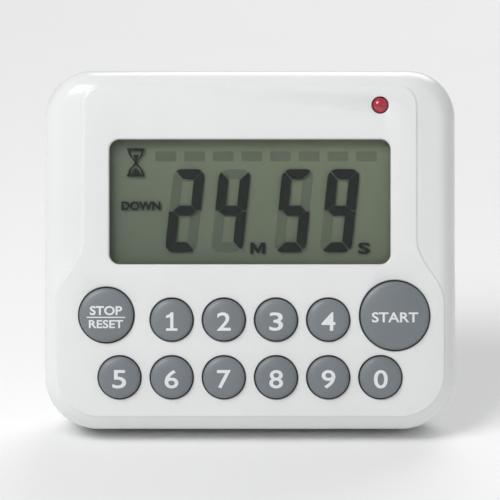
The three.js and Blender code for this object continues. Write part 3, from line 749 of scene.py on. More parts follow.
def skin_rings(base, radius, face, edge):
    """Rings from the raised face out over the edge and down to the parting line."""
    rings = []
    for step in range(9):
        t = 1 - step / 8
        ring = at_angles(plate_outline(base + BANK_OUTER + (BANK_INNER - BANK_OUTER) * t))
        level = face - BANK_STEP * (1 - bank(t))
        rings.append([(x, u, rolled(x, u, base, radius, level)) for x, u in ring])
    inner = at_angles(plate_outline(base + BANK_OUTER))
    outer = at_angles(case_outline(base))
    for step in range(1, 23):
        t = (1 - step / 22) ** 2
        ring = []
        for (xi, ui), (xo, uo) in zip(inner, outer):
            x, u = xo + (xi - xo) * t, uo + (ui - uo) * t
            away = math.hypot(xi - xo, ui - uo) * (1 - t)
            level = face - BANK_STEP - BAND_SLOPE * away
            ring.append((x, u, rolled(x, u, base, radius, level) if t else level - radius))
        rings.append(ring)
    for depth in (edge + 2.2, edge + 0.15):
        rings.append([(x, u, depth) for x, u in outer])
    return rings


# %% Build the shell and open it
def front_shell():
    edge = front.d0
    outside = skin_rings(0, FRONT_ROUND, FACE, edge)
    inside = skin_rings(WALL, FRONT_ROUND - WALL, FACE - WALL, edge)
    outside.append([(x, u, edge) for x, u in at_angles(case_outline(0.15))])
    inside.append([(x, u, edge) for x, u in at_angles(case_outline(WALL - 0.15))])
    rings = outside + inside[::-1]
    return loft("front_shell", [[point(*p) for p in ring] for ring in rings])


KEY_NAMES = ["key_" + n for n in "1234567890"] + ["key_start", "key_stop_reset"]
key_at = {name: upright(name) for name in KEY_NAMES}
KEY_FLANGE = 0.5
KEY_GAP = 0.25
led = upright("indicator_led")


def hole_profile(radius, flare, depth_from):
    """A round cutter whose mouth widens round at the face."""
    profile = [(radius, depth_from)]
    for step in range(6):
        angle = step / 5 * math.pi / 2
        profile.append((radius + flare * (1 - math.cos(angle)), FACE - flare * (1 - math.sin(angle))))
    return profile + [(radius + flare, FACE + 3)]


front_case = front_shell()
cutters = []
for name, key in key_at.items():
    radius = (key.x1 - key.x0) / 2 - KEY_FLANGE + KEY_GAP
    cutters.append(lathe("hole", hole_profile(radius, 0.35, 12), key.x, key.u, 96))
led_radius = (led.x1 - led.x0) / 2
cutters.append(lathe("hole", hole_profile(led_radius + 0.15, 0.25, 12), led.x, led.u, 64))
GLASS_FIT = 0.2


def glass_outline(grow):
    g = GLASS_FIT + grow
    return rounded(glass.x0 - g, glass.x1 + g, glass.u0 - g, glass.u1 + g, 2.0 + grow, steps=12)


cutters.append(prism("window_hole", glass_outline, 12, FACE + 3, 0.45, FACE))
cut(front_case, *cutters)
front_case.name = "front_case_visual"
place(front_case, UPRIGHT)
keep(front_case, "case", "case_white", case_white, "front_case")

# %% [markdown]
# ## Window and display
# The clear window sits 0.6 mm below the face. Behind it the display is a stack: a dull reflecting
# film at the back and, half a millimetre nearer, the dark segments. That gap is what gives a real
# segment display its soft second image, so it is kept here, and the segments cast their shadow on
# the film by themselves.

# %% Window and film


def pad_rings(outline, d0, d1, bevel):
    """A flat piece with a fine bevel round its front edge."""
    levels = [(0, d0), (0, d1 - bevel), (bevel * 0.3, d1 - bevel * 0.3), (bevel, d1)]
    return [[point(x, u, d) for x, u in outline(-inset)] for inset, d in levels]


def window_outline(grow):
    return rounded(glass.x0 - grow, glass.x1 + grow, glass.u0 - grow, glass.u1 + grow, 1.8 + grow, steps=12)


window = loft("window", pad_rings(window_outline, glass.d0, glass.d1, 0.15))
keep(place(window, UPRIGHT), "case", "window_clear", window_clear, "display_window")

panel = upright("lcd_panel")
FILM_DEPTH = panel.d1 - 0.5
INK_DEPTH = panel.d1 - 0.02


def panel_outline(grow):
    return rounded(panel.x0 - grow, panel.x1 + grow, panel.u0 - grow, panel.u1 + grow, 0.4 + grow, steps=4)


film = loft("display_film", pad_rings(panel_outline, panel.d0, FILM_DEPTH, 0.1))
keep(place(film, UPRIGHT), "case", "lcd_glass", lcd_film, "lcd_panel")

# %% [markdown]
# ### The digits
# Each digit has seven segments with mitred ends and round outer corners, and the whole digit leans
# a few degrees. One function gives the outline of any segment, so lit and unlit segments are made
# alike: lit ones in dark ink, unlit ones as the faint ghosts that a reflecting display shows.

# %% Segment outlines
DIGIT_WIDTH = 6.1
DIGIT_HEIGHT = 16.1
DIGIT_FOOT = glass.u0 + 2.1
DIGIT_SLANT = math.tan(math.radians(6))
STROKE = 1.95
DIGIT_CORNER = 1.5
LIT = {"2": "abged", "4": "fgbc", "5": "afgcd", "9": "abcdfg"}
SEGMENT_GAP = 0.13


def segment(letter):
    """One segment of an upright digit, as an outline."""
    w, h, s, r, g = DIGIT_WIDTH, DIGIT_HEIGHT, STROKE, DIGIT_CORNER, SEGMENT_GAP
    if letter in "ad":
        top = arc(w - r, h - r, r, 45, 90, 5) + arc(r, h - r, r, 90, 135, 5)
        outline = top + [(s, h - s), (w - s, h - s)]
        middle = w / 2
        outline = [(x + (g if x < middle else -g), u) for x, u in outline]
        return outline if letter == "a" else [(x, h - u) for x, u in reversed(outline)]
    if letter == "g":
        half, c = s / 2, h / 2
        return [(g + 0.35 * s, c), (0.95 * s, c - half), (w - 0.95 * s, c - half), (w - g - 0.35 * s, c),
                (w - 0.95 * s, c + half), (0.95 * s, c + half)]
    outline = arc(w - r, h - r, r, 0, 45, 5)
    outline = [(x, u - g) for x, u in outline]
    outline += [(w - s, h - s - g), (w - s, h / 2 + 0.55 * s + g), (w - 0.45 * s, h / 2 + g), (w, h / 2 + g)]
    if letter in "ef":
        outline = [(w - x, u) for x, u in reversed(outline)]
    if letter in "ec":
        outline = [(x, h - u) for x, u in reversed(outline)]
    return outline


def plates(name, outlines, d0, d1):
    """Thin flat plates from many outlines, as one piece."""
    bm = bmesh.new()
    for outline in outlines:
        front_ring = [bm.verts.new(point(x, u, d1)) for x, u in outline]
        back_ring = [bm.verts.new(point(x, u, d0)) for x, u in outline]
        bm.faces.new(front_ring)
        bm.faces.new(back_ring[::-1])
        for i in range(len(outline)):
            j = (i + 1) % len(outline)
            bm.faces.new((front_ring[i], back_ring[i], back_ring[j], front_ring[j]))
    bmesh.ops.recalc_face_normals(bm, faces=bm.faces)
    mesh = bpy.data.meshes.new(name)
    bm.to_mesh(mesh)
    bm.free()
    return link(name, mesh)


DIGIT_PITCH = 8.9
DIGIT_LEFT = {"2": -16.5, "4": -16.5 + DIGIT_PITCH, "5": 4.6, "9": 4.6 + DIGIT_PITCH}
lit, unlit = [], []
for digit, left in DIGIT_LEFT.items():
    for letter in "abcdefg":
        outline = [(left + x + DIGIT_SLANT * u, DIGIT_FOOT + u) for x, u in segment(letter)]
        (lit if letter in LIT[digit] else unlit).append(outline)
print(len(lit), "lit and", len(unlit), "unlit segments")

# %% [markdown]
# ### Words and signs on the display and the keys
# Lettering starts as Blender text, which is turned into a mesh at once and scaled to the height it
# has on the timer. For the keys it is cut by a fine grid and then laid over the key's dome, because
# flat lettering would either float at its edges or sink in the middle.

# %% Lettering


def lettering(text, height, width, bold=0.0):
    """Text as a mesh with its middle at the origin, thickness 1, x to the right and y up."""
    curve = bpy.data.curves.new("lettering", "FONT")
    curve.body = text
    curve.size = 1.0
    curve.offset = bold
    curve.extrude = 0.05
    curve.resolution_u = 6
    source = link("lettering", curve)
    bpy.context.view_layer.update()
    mesh = bpy.data.meshes.new_from_object(source)
    bpy.data.objects.remove(source)
    xs, ys = [v.co.x for v in mesh.vertices], [v.co.y for v in mesh.vertices]
    scale_y = height / (max(ys) - min(ys))
    scale_x = width / (max(xs) - min(xs))
    centre = Vector(((min(xs) + max(xs)) / 2, (min(ys) + max(ys)) / 2, 0))
    mesh.transform(Matrix.Diagonal((scale_x, scale_y, 10, 1)) @ Matrix.Translation(-centre))
    return mesh


def sliced(mesh, size):
    """Cuts a flat mesh by a square grid, so that it can follow a curved face."""
    bm = bmesh.new()
    bm.from_mesh(mesh)
    bmesh.ops.remove_doubles(bm, verts=bm.verts, dist=0.0005)
    for axis in (0, 1):
        low = min(v.co[axis] for v in bm.verts)
        high = max(v.co[axis] for v in bm.verts)
        for step in range(1, int((high - low) / size) + 1):
            place_at, normal = Vector((0, 0, 0)), Vector((0, 0, 0))
            place_at[axis], normal[axis] = low + step * size, 1
            geometry = bm.verts[:] + bm.edges[:] + bm.faces[:]
            bmesh.ops.bisect_plane(bm, geom=geometry, plane_co=place_at, plane_no=normal, dist=0.0001)
    bm.to_mesh(mesh)
    bm.free()
    return mesh


def on_surface(name, mesh, x, u, surface, proud=0.03, depth=0.15):
    """Lays lettering over a surface given by its depth at each point."""
    for vertex in mesh.vertices:
        px, pu = vertex.co.x + x, vertex.co.y + u
        level = surface(px, pu) + (proud if vertex.co.z > 0 else -depth)
        vertex.co = Vector(point(px, pu, level))
    return link(name, tidy(mesh, 0.0002))


def merge_objects(name, objects):
    """Several drawn pieces as one."""
    bm = bmesh.new()
    for obj in objects:
        bm.from_mesh(obj.data)
        bpy.data.objects.remove(obj)
    mesh = bpy.data.meshes.new(name)
    bm.to_mesh(mesh)
    bm.free()
    return link(name, mesh)


# %% The display's ink


def flat_ink(x, u):
    return INK_DEPTH - 0.03


words = [
    on_surface("word", lettering("DOWN", 1.75, 7.6, 0.045), -21.1, glass.u0 + 11.1, flat_ink, depth=0.02),
    on_surface("word", lettering("S", 2.2, 2.3, 0.03), 22.1, glass.u0 + 2.9, flat_ink, depth=0.02),
]
LETTER_M = [
    (0, 0), (0, 2.2), (0.75, 2.2), (1.45, 1.0), (2.15, 2.2), (2.9, 2.2), (2.9, 0),
    (2.3, 0), (2.3, 1.35), (1.6, 0.15), (1.3, 0.15), (0.6, 1.35), (0.6, 0),
]
minutes_mark = [(x + 0.05, glass.u0 + 1.8 + u) for x, u in LETTER_M]
HOURGLASS_X, HOURGLASS_U = -22.1, glass.u0 + 19.5


def hourglass():
    """A small sand glass: two plates, two bulbs and sand in both."""
    x, u = HOURGLASS_X, HOURGLASS_U
    shapes = [[(x + a * 1.7, u + b + c) for a, c in ((-1, 0), (1, 0), (1, 0.5), (-1, 0.5))]
              for b in (-2.75, 2.25)]
    for side in (-1, 1):
        for turn in (-1, 1):
            edge = bezier((1.5, 2.3), (1.5, 0.8), (0.3, 0.8), (0.3, 0), 10)
            inner = [(a - 0.42, b) for a, b in reversed(edge)]
            outline = [(x + side * a, u + turn * b) for a, b in edge + inner]
            shapes.append(outline if side * turn > 0 else outline[::-1])
    shapes.append([(x - 0.9, u - 2.2), (x + 0.9, u - 2.2), (x + 0.3, u - 1.25), (x - 0.3, u - 1.25)])
    shapes.append([(x - 0.12, u + 0.55), (x + 0.12, u + 0.55), (x + 0.6, u + 1.5), (x - 0.6, u + 1.5)])
    return shapes


INK_THICKNESS = 0.05
drawn = plates("lit", lit + hourglass() + [minutes_mark], INK_DEPTH - INK_THICKNESS, INK_DEPTH)
ink = merge_objects("display_ink", [drawn, *words])
keep(place(ink, UPRIGHT), "case", "lcd_glass", lcd_ink)
GHOST_LOW, GHOST_HIGH = FILM_DEPTH + 0.005, FILM_DEPTH + 0.03
ghosts = plates("display_ghosts", unlit, GHOST_LOW, GHOST_HIGH)
keep(place(ghosts, UPRIGHT), "case", "lcd_glass", lcd_faint)

# %% [markdown]
# ### A row of faint blocks by Geometry Nodes
# Above the digits a row of small equal blocks is barely visible. Equal copies at equal steps are
# what Geometry Nodes is for: one line of points, one block on each, then the instances are made
# real so that the result is a plain mesh.

# %% Geometry Nodes helpers


def geometry_tree(name, sizes):
    tree = bpy.data.node_groups.new(name, "GeometryNodeTree")
    tree.interface.new_socket("Geometry", in_out="INPUT", socket_type="NodeSocketGeometry")
    for label, kind, value in sizes:
        socket = tree.interface.new_socket(label, in_out="INPUT", socket_type=kind)
        socket.default_value = value
    tree.interface.new_socket("Geometry", in_out="OUTPUT", socket_type="NodeSocketGeometry")
    return tree, tree.nodes.new("NodeGroupInput"), tree.nodes.new("NodeGroupOutput")


def finish_tree(tree, instances, material, result):
    """Makes the instances real and gives them their material, as the tree's last steps."""
    real = tree.nodes.new("GeometryNodeRealizeInstances")
    painted = tree.nodes.new("GeometryNodeSetMaterial")
    painted.inputs["Material"].default_value = material
    tree.links.new(instances, real.inputs["Geometry"])
    tree.links.new(real.outputs["Geometry"], painted.inputs["Geometry"])
    tree.links.new(painted.outputs["Geometry"], result.inputs["Geometry"])


def grown(name, tree, points, **values):
    """A plain mesh grown by a tree on a mesh of points."""
    mesh = bpy.data.meshes.new(name)
    mesh.from_pydata(points, [], [])
    obj = link(name, mesh)
    modifier = obj.modifiers.new("grow", "NODES")
    modifier.node_group = tree
    for item in tree.interface.items_tree:
        label = item.name.replace(" ", "_")
        if item.item_type == "SOCKET" and item.in_out == "INPUT" and label in values:
            modifier[item.identifier] = values[label]
    return flatten(obj)


def instances_on(tree, points, instance):
    node = tree.nodes.new("GeometryNodeInstanceOnPoints")
    tree.links.new(points, node.inputs["Points"])
    tree.links.new(instance, node.inputs["Instance"])
    return node.outputs["Instances"]


# %% The row of blocks


def block_row_tree():
    tree, given, result = geometry_tree("block_row", [
        ("Count", "NodeSocketInt", 8), ("Pitch", "NodeSocketFloat", 5.5),
        ("Block", "NodeSocketVector", (4, 0.02, 1.9)),
    ])
    step = tree.nodes.new("ShaderNodeCombineXYZ")
    tree.links.new(given.outputs["Pitch"], step.inputs["X"])
    line = tree.nodes.new("GeometryNodeMeshLine")
    tree.links.new(given.outputs["Count"], line.inputs["Count"])
    tree.links.new(step.outputs["Vector"], line.inputs["Offset"])
    small = tree.nodes.new("GeometryNodeMeshCube")
    tree.links.new(given.outputs["Block"], small.inputs["Size"])
    rows = instances_on(tree, line.outputs["Mesh"], small.outputs["Mesh"])
    finish_tree(tree, rows, lcd_faint, result)
    return tree


block_row = grown("display_blocks", block_row_tree(), [(0, 0, 0)], Count=8, Pitch=5.55)
BLOCK_LEFT, BLOCK_RISE = -16.3, 20.7  # the first block's middle, across and above the window's edge
block_row.data.transform(Matrix.Translation(point(BLOCK_LEFT, glass.u0 + BLOCK_RISE, FILM_DEPTH + 0.02)))
keep(place(block_row, UPRIGHT), "case", "lcd_glass", lcd_faint)

# %% [markdown]
# ## Keys
# Each key is a satin cap on a stem, held by a flange behind the face. Its top is a flat dome that
# turns down quickly at the rim, which is a superellipse turned about the key's axis. The same
# formula gives the depth that the lettering is laid on.

# %% Key caps
DOME = 1.0
DOME_POWER = 2.6


def dome(radius, top, distance):
    """The depth of a key's top at a distance from its axis."""
    share = max(1 - (min(distance, radius) / radius) ** DOME_POWER, 0)
    return top - DOME + DOME * share ** (1 / DOME_POWER)


def key_profile(key, radius):
    flange_back = FACE - WALL - 0.9
    profile = [(0, key.d0), (1.6, key.d0), (1.6, flange_back), (radius + KEY_FLANGE, flange_back)]
    profile += [(radius + KEY_FLANGE, flange_back + 0.7), (radius, flange_back + 0.7)]
    steps = 26
    for step in range(steps + 1):
        angle = math.pi / 2 * (1 - step / steps)
        r = radius * math.sin(angle) ** (2 / DOME_POWER)
        profile.append((r, dome(radius, key.d1, r)))
    return profile


def key_cap(name):
    key = key_at[name]
    radius = (key.x1 - key.x0) / 2 - KEY_FLANGE
    cap = lathe(name + "_cap", key_profile(key, radius), key.x, key.u, 96)
    keep(place(cap, UPRIGHT), name, "key_grey", key_grey, name)

    def surface(x, u):
        return dome(radius, key.d1, math.hypot(x - key.x, u - key.u))

    return key, surface


def key_print(name, pieces):
    """Lays a key's lettering: each piece is a mesh and its place above the key's middle."""
    key, surface = key_cap(name)
    laid = [on_surface("print", sliced(mesh, 0.45), key.x, key.u + rise, surface) for mesh, rise in pieces]
    piece = merge_objects(name + "_print", laid)
    keep(place(piece, UPRIGHT), name, "case_white", legend_white)


def line_mesh(width, height):
    mesh = bpy.data.meshes.new("line")
    w, h = width / 2, height / 2
    corners = [(x, y, z) for z in (-0.5, 0.5) for x, y in ((-w, -h), (w, -h), (w, h), (-w, h))]
    faces = [(3, 2, 1, 0), (4, 5, 6, 7), (0, 1, 5, 4), (1, 2, 6, 5), (2, 3, 7, 6), (3, 0, 4, 7)]
    mesh.from_pydata(corners, [], faces)
    return mesh


def figure_one(height):
    """A figure 1 with a flag and a foot, which the font's plain stroke lacks."""
    outline = [(-1.05, 0), (1.15, 0), (1.15, 0.48), (0.36, 0.48), (0.36, 3.55), (-0.15, 3.55), (-0.45, 3.15),
               (-1.05, 2.9), (-1.05, 2.45), (-0.26, 2.62), (-0.26, 0.48), (-1.05, 0.48)]
    scale = height / 3.55
    plate = plates("one", [[(x * scale, u * scale - height / 2) for x, u in outline]], -0.5, 0.5)
    mesh = plate.data.copy()
    bpy.data.objects.remove(plate)
    mesh.transform(Matrix(((1, 0, 0, 0), (0, 0, 1, 0), (0, -1, 0, 0), (0, 0, 0, 1))))
    return mesh


for number in "1234567890":
    figure = figure_one(3.55) if number == "1" else lettering(number, 3.55, 2.65, 0.012)
    key_print("key_" + number, [(figure, -0.3)])
key_print("key_start", [(lettering("START", 1.97, 8.9, 0.02), -0.3)])
key_print("key_stop_reset", [
    (lettering("STOP", 1.75, 6.2, 0.025), 0.9),
    (line_mesh(7.4, 0.22), -0.4),
    (lettering("RESET", 1.6, 6.6, 0.022), -1.7),
])

# %% [markdown]
# ## Indicator light
# A 3 mm red light shows at the top right: a short tinted rod with a domed end in a round hole.

# %% Indicator light


def led_profile():
    radius, straight = led_radius, led.d1 - led_radius * 0.75
    profile = [(0, led.d0), (radius, led.d0), (radius, straight)]
    for step in range(1, 13):
        angle = step / 12 * math.pi / 2
        profile.append((radius * math.cos(angle), straight + (led.d1 - straight) * math.sin(angle)))
    return profile


light = lathe("indicator_light", led_profile(), led.x, led.u, 64)
keep(place(light, UPRIGHT), "case", "led_red", led_red, "indicator_led")

# %% [markdown]
# ## Back case
# The back rolls over a much larger round than the front. Behind the stand it has a recess with a
# round top, shallow at the hinge and deeper below, where the wire stay rests, and under that the
# open bay for two cells. The shell is a loft with an inner wall, the recess and the bay are joined
# to it as tubs, and then everything hollow is cut out with cutters whose mouths are rounded.

# %% Sizes of the back
BACK_ROUND = 8.4
back = upright("back_case")
pin = upright("stand_hinge_pin")
door = upright("battery_door")
cell_low, cell_high = upright("battery_lower"), upright("battery_upper")
FIT = 0.2
BACK_EDGE = front.d0 - FIT
DOOR_THICKNESS = 1.4
RECESS_HALF = (pin.x1 - pin.x0) / 2 - 2
RECESS_SHALLOW = 3.6
RECESS_DEEP = 6.5
TUB = 1.2
BAY_HALF = door.x1 + FIT
BAY_TOP = cell_high.u1 + 1.4
BAY_FLOOR = cell_low.d1 + 0.3
RECESS_LOW = BAY_TOP + 2.95
RECESS_STEP = pin.u - 5
CATCH_X = 17
CATCH_WIDTH = 5
MOUTH_FLARE = 0.2  # how far the screw wells widen at the surface
case_screws = [upright("case_screw_" + str(i)) for i in (1, 2, 3, 4)]


def back_rings(base, radius, edge, start):
    """Rings of the back's skin from its flat middle, over the big round, to the parting line."""
    rings = []
    for step in range(17):
        angle = step / 16 * math.pi / 2
        inset = base + radius * (1 - math.sin(angle))
        rings.append([point(x, u, start + radius * (1 - math.cos(angle))) for x, u in case_outline(inset)])
    rings.append([point(x, u, edge - 0.15) for x, u in case_outline(base)])
    return rings


def recess_outline(grow):
    half = RECESS_HALF + grow
    top = arc(0, pin.u, half, 0, 180, 64)
    return [(-half, RECESS_LOW - grow), (half, RECESS_LOW - grow)] + top


def deep_outline(grow):
    half = RECESS_HALF + grow
    return rounded(-half, half, RECESS_LOW - grow, RECESS_STEP + grow, 0.8, steps=8)


# %% Build the back


def outer_back():
    """The outside of the back as a solid, to trim what is joined to the shell."""
    rings = back_rings(0, BACK_ROUND, BACK_EDGE, 0)
    for depth in (BACK_EDGE, back.d1):
        rings.append([point(x, u, depth) for x, u in case_outline(WALL + FIT)])
    return loft("outer_back", rings)


def back_shell():
    outside = back_rings(0, BACK_ROUND, BACK_EDGE, 0)
    outside.append([point(x, u, BACK_EDGE) for x, u in case_outline(0.15)])
    inside = back_rings(WALL, BACK_ROUND - WALL, BACK_EDGE, WALL)
    inside.append([point(x, u, BACK_EDGE) for x, u in case_outline(WALL - 0.15)])
    return loft("back_shell", outside + inside[::-1])


def recess_tub():
    tub = prism("tub", lambda grow: recess_outline(TUB + grow), 0.6, RECESS_SHALLOW + TUB)
    half = RECESS_HALF + TUB
    joined(tub, block(-half, half, RECESS_LOW - TUB, RECESS_STEP + TUB, 0.5, RECESS_DEEP + TUB))
    for side in (-1, 1):
        x0, x1 = sorted((side * RECESS_HALF, side * (RECESS_HALF + 3)))
        joined(tub, cross_rod(3.6, x0, x1, pin.u, pin.d + 1))
        x0, x1 = sorted((side * 6, side * (RECESS_HALF + 1)))
        joined(tub, block(x0, x1, pin.u - 4.6, pin.u + 4.6, 3, pin.d + 5))
    return tub


def back_case_piece():
    shell = back_shell()
    bay = BAY_HALF + TUB
    tubs = recess_tub()
    joined(tubs, block(-bay, bay, WALL + FIT, BAY_TOP + TUB, 0.35, BAY_FLOOR + 0.8))
    for screw in case_screws:
        joined(tubs, rod(3.3, 0.4, back.d1 + 3, screw.x, screw.u))
    kept(tubs, outer_back())
    joined(shell, tubs)
    cut(shell, prism("recess", recess_outline, RECESS_SHALLOW, -3, 0.45, 0))
    cut(shell, prism("deep", deep_outline, RECESS_DEEP, 1.0))
    cut(shell, block(-RECESS_HALF, RECESS_HALF, BAY_TOP - 1, RECESS_LOW + 1, -3, 1.6))
    for side in (-1, 1):
        x0, x1 = sorted((side * 6.4, side * RECESS_HALF))
        cut(shell, block(x0, x1, pin.u - 3.6, pin.u + 3.6, 0.8, pin.d + 3.6))
    cut(shell, cross_rod(1.3, -RECESS_HALF - 2.2, RECESS_HALF + 2.2, pin.u, pin.d))
    cut(shell, block(-BAY_HALF, BAY_HALF, -10, BAY_TOP, -3, BAY_FLOOR))
    for side in (-1, 1):
        w = CATCH_WIDTH / 2 + FIT
        x = side * CATCH_X
        t = DOOR_THICKNESS
        cut(shell, block(x - w, x + w, BAY_TOP - 1, BAY_TOP + 0.7, t - 0.5, t + 1.5))
    for screw in case_screws:
        head = (screw.x1 - screw.x0) / 2 + FIT
        mouth = [(head + MOUTH_FLARE, -3)]
        for step in range(6):
            angle = step / 5 * math.pi / 2
            flare = MOUTH_FLARE * (1 - math.sin(angle))
            mouth.append((head + flare, MOUTH_FLARE * (1 - math.cos(angle))))
        cut(shell, lathe("well", mouth + [(head, screw.d0 + 2)], screw.x, screw.u, 64))
        cut(shell, rod(1.0, screw.d0, back.d1 + 5, screw.x, screw.u))
    return cut(shell, table_block(UPRIGHT))


back_case = back_case_piece()
back_case.name = "back_case_visual"
keep(place(back_case, UPRIGHT), "case", "case_white", case_white, "back_case")

# %% [markdown]
# ## Battery door
# The door is the back's own skin over the bay: flat at the back, then curling round the bottom edge
# under the cells. Its section is drawn once, as a hook-shaped outline, and stretched along x. Two
# catches snap into the case above it, and two tabs hold its lower lip.

# %% Battery door


def door_section(inset):
    """The door's section as (u, d): along the outside, round the edge, and back along the inside."""
    t, r = DOOR_THICKNESS, BACK_ROUND
    top, lip = door.u1_plain - inset, DOOR_LIP - inset
    outside = [(top, inset)]
    outside += [(r + (r - inset) * math.cos(a), r + (r - inset) * math.sin(a))
                for a in [math.radians(270 - 90 * i / 24) for i in range(25)]]
    outside.append((inset, lip))
    q = r - t + inset
    inside = [(t - inset, lip)]
    inside += [(r + q * math.cos(a), r + q * math.sin(a))
               for a in [math.radians(180 + 90 * i / 24) for i in range(25)]]
    inside.append((top, t - inset))
    return outside + inside


DOOR_LIP = upright("battery_door").d1 - 1.4
door.u1_plain = BAY_TOP - FIT


def door_piece():
    edge, half = 0.3, door.x1
    stations = [(edge, -half), (edge * 0.3, -half + edge * 0.3), (0, -half + edge), (0, half - edge),
                (edge * 0.3, half - edge * 0.3), (edge, half)]
    rings = [[point(x, u, d) for u, d in door_section(inset)] for inset, x in stations]
    panel_piece = loft("battery_door_visual", rings)
    t = DOOR_THICKNESS
    for side in (-1, 1):
        x = side * CATCH_X
        w = CATCH_WIDTH / 2
        joined(panel_piece, block(x - w, x + w, BAY_TOP - 1.6, BAY_TOP + 0.35, t - 0.3, t + 1))
        tab = side * (half - 4)
        joined(panel_piece, block(tab - 2.5, tab + 2.5, WALL + FIT, t + 1, DOOR_LIP - 1.2, door.d1))
        joined(panel_piece, block(tab - 2.45, tab + 2.45, 0.5, t + 0.9, DOOR_LIP - 1.15, DOOR_LIP - 0.1))
    return cut(panel_piece, table_block(UPRIGHT))


battery_door = door_piece()
keep(place(battery_door, UPRIGHT), "battery_door", "case_white", case_white, "battery_door")

# %% [markdown]
# ## Folding stand
# The stand is a long tray: a round head at the hinge, a narrower leg, a web on the outside and a rim
# all round that faces the case. It is lofted in its own drawing frame, folded flat, then its channel,
# the ears' pin holes and the small hanging hole are cut, and its foot is cut off level with the table.

# %% Stand arm
arm = Extent("stand_arm", STAND)
pad = Extent("magnet_pad", STAND)
HEAD = arm.x1
LEG = 7.6
ARM_INNER = 2.3
ARM_OUTER = -arm.d0
ARM_LENGTH = -arm.u0
ARM_WEB = 1.8
ARM_RIM = 1.5
WIRE_ALONG = 31.2
WIRE_OFFSET = 3.5


def arm_outline(inset, foot):
    head, leg = HEAD - inset, LEG - inset
    right = [(leg, foot)] + bezier((leg, -20), (leg, -14), (head, -10), (head, -3))
    top = arc(0, 0, head, 0, 180, 72)
    left = [(-x, u) for x, u in reversed(right)]
    return right + top + left


def arm_piece():
    far = -ARM_LENGTH - 6
    rings = [[point(x, u, d) for x, u in arm_outline(inset, far)]
             for inset, d in ((0.25, -ARM_INNER), (0.07, -ARM_INNER - 0.07), (0, -ARM_INNER - 0.25))]
    for step in range(9):
        angle = step / 8 * math.pi / 2
        inset = 1.0 - math.cos(angle)
        depth = -ARM_OUTER + 1 - math.sin(angle)
        rings.append([point(x, u, depth) for x, u in arm_outline(inset, far)])
    arm_body = loft("stand_arm_visual", rings)
    channel = [[point(x, u, d) for x, u in arm_outline(ARM_RIM + grow, -ARM_LENGTH + 4)]
               for d, grow in ((2, 0), (-ARM_OUTER + ARM_WEB + 0.4, 0), (-ARM_OUTER + ARM_WEB + 0.12, 0.12),
                               (-ARM_OUTER + ARM_WEB, 0.4))]
    cut(arm_body, loft("channel", channel))
    for side in (-1, 1):
        x0, x1 = sorted((side * (HEAD - 2.4), side * (HEAD - 0.2)))
        ear = joined(cross_rod(2.7, x0, x1, 0, 0), block(x0, x1, -2.7, 2.7, -ARM_INNER - 1.5, 0))
        joined(arm_body, ear)
    cut(arm_body, cross_rod(1.3, -20, 20, 0, 0))
    cut(arm_body, cross_rod(0.7, -20, 20, -WIRE_ALONG, -WIRE_OFFSET, 24))
    hole = [(1.2, 5), (1.2, -ARM_OUTER + 0.3), (1.29, -ARM_OUTER + 0.09), (1.5, -ARM_OUTER), (1.5, -20)]
    cut(arm_body, lathe("hole", hole, 0, 3.6, 48))
    return cut(arm_body, table_block(STAND))


stand_arm = arm_piece()
keep(place(stand_arm, STAND), "stand", "case_white", stand_white, "stand_arm")

# %% [markdown]
# ## Magnet pad
# A dark ferrite bar is glued to the outside of the stand, so that the folded timer clings to steel.
# Pressed ferrite has soft edges and slightly uneven faces, so it is a block with rounded edges.

# %% Magnet pad


def pad_outline(grow):
    return rounded(pad.x0 - grow, pad.x1 + grow, pad.u0 - grow, pad.u1 + grow, 0.9 + grow, steps=8)


def pad_piece():
    levels = []
    for step in range(6):
        angle = step / 5 * math.pi / 2
        levels.append((0.5 * (1 - math.sin(angle)), pad.d0 + 0.5 * (1 - math.cos(angle))))
    levels += [(0, pad.d1 - 0.2), (0.2, pad.d1)]
    return loft("magnet_pad_visual", [[point(x, u, d) for x, u in pad_outline(-i)] for i, d in levels])


keep(place(pad_piece(), STAND), "stand", "magnet_dark", magnet_dark, "magnet_pad")

# %% [markdown]
# ## Wire stay and hinge pin
# A U of springy wire holds the stand open. Its two hooks turn in the stand's rim, and its bar rests
# in the recess. Wire is bent, not mitred, so the path gets an arc at each corner before a round
# section is swept along it.

# %% Wire stay
WIRE_RADIUS = 0.5
WIRE_BEND = 1.6


def bent(corners, radius, steps=8):
    """A path through the corners with an arc at each inner one."""
    path = [corners[0]]
    for before, at, after in zip(corners, corners[1:], corners[2:]):
        a, b = (before - at).normalized(), (after - at).normalized()
        half = a.angle(b) / 2
        run = radius / math.tan(half)
        centre = at + (a + b).normalized() * (radius / math.sin(half))
        start, end = at + a * run - centre, at + b * run - centre
        for step in range(steps + 1):
            path.append(centre + start.slerp(end, step / steps))
    return path + [corners[-1]]


def wire_along(name, path, radius):
    curve = bpy.data.curves.new(name, "CURVE")
    curve.dimensions = "3D"
    curve.bevel_depth = radius
    curve.bevel_resolution = 5
    curve.use_fill_caps = True
    spline = curve.splines.new("POLY")
    spline.points.add(len(path) - 1)
    for spot, place_at in zip(spline.points, path):
        spot.co = (*place_at, 1)
    source = link(name + "_path", curve)
    bpy.context.view_layer.update()
    mesh = bpy.data.meshes.new_from_object(source)
    bpy.data.objects.remove(source)
    mesh.name = name
    return link(name, tidy(mesh))


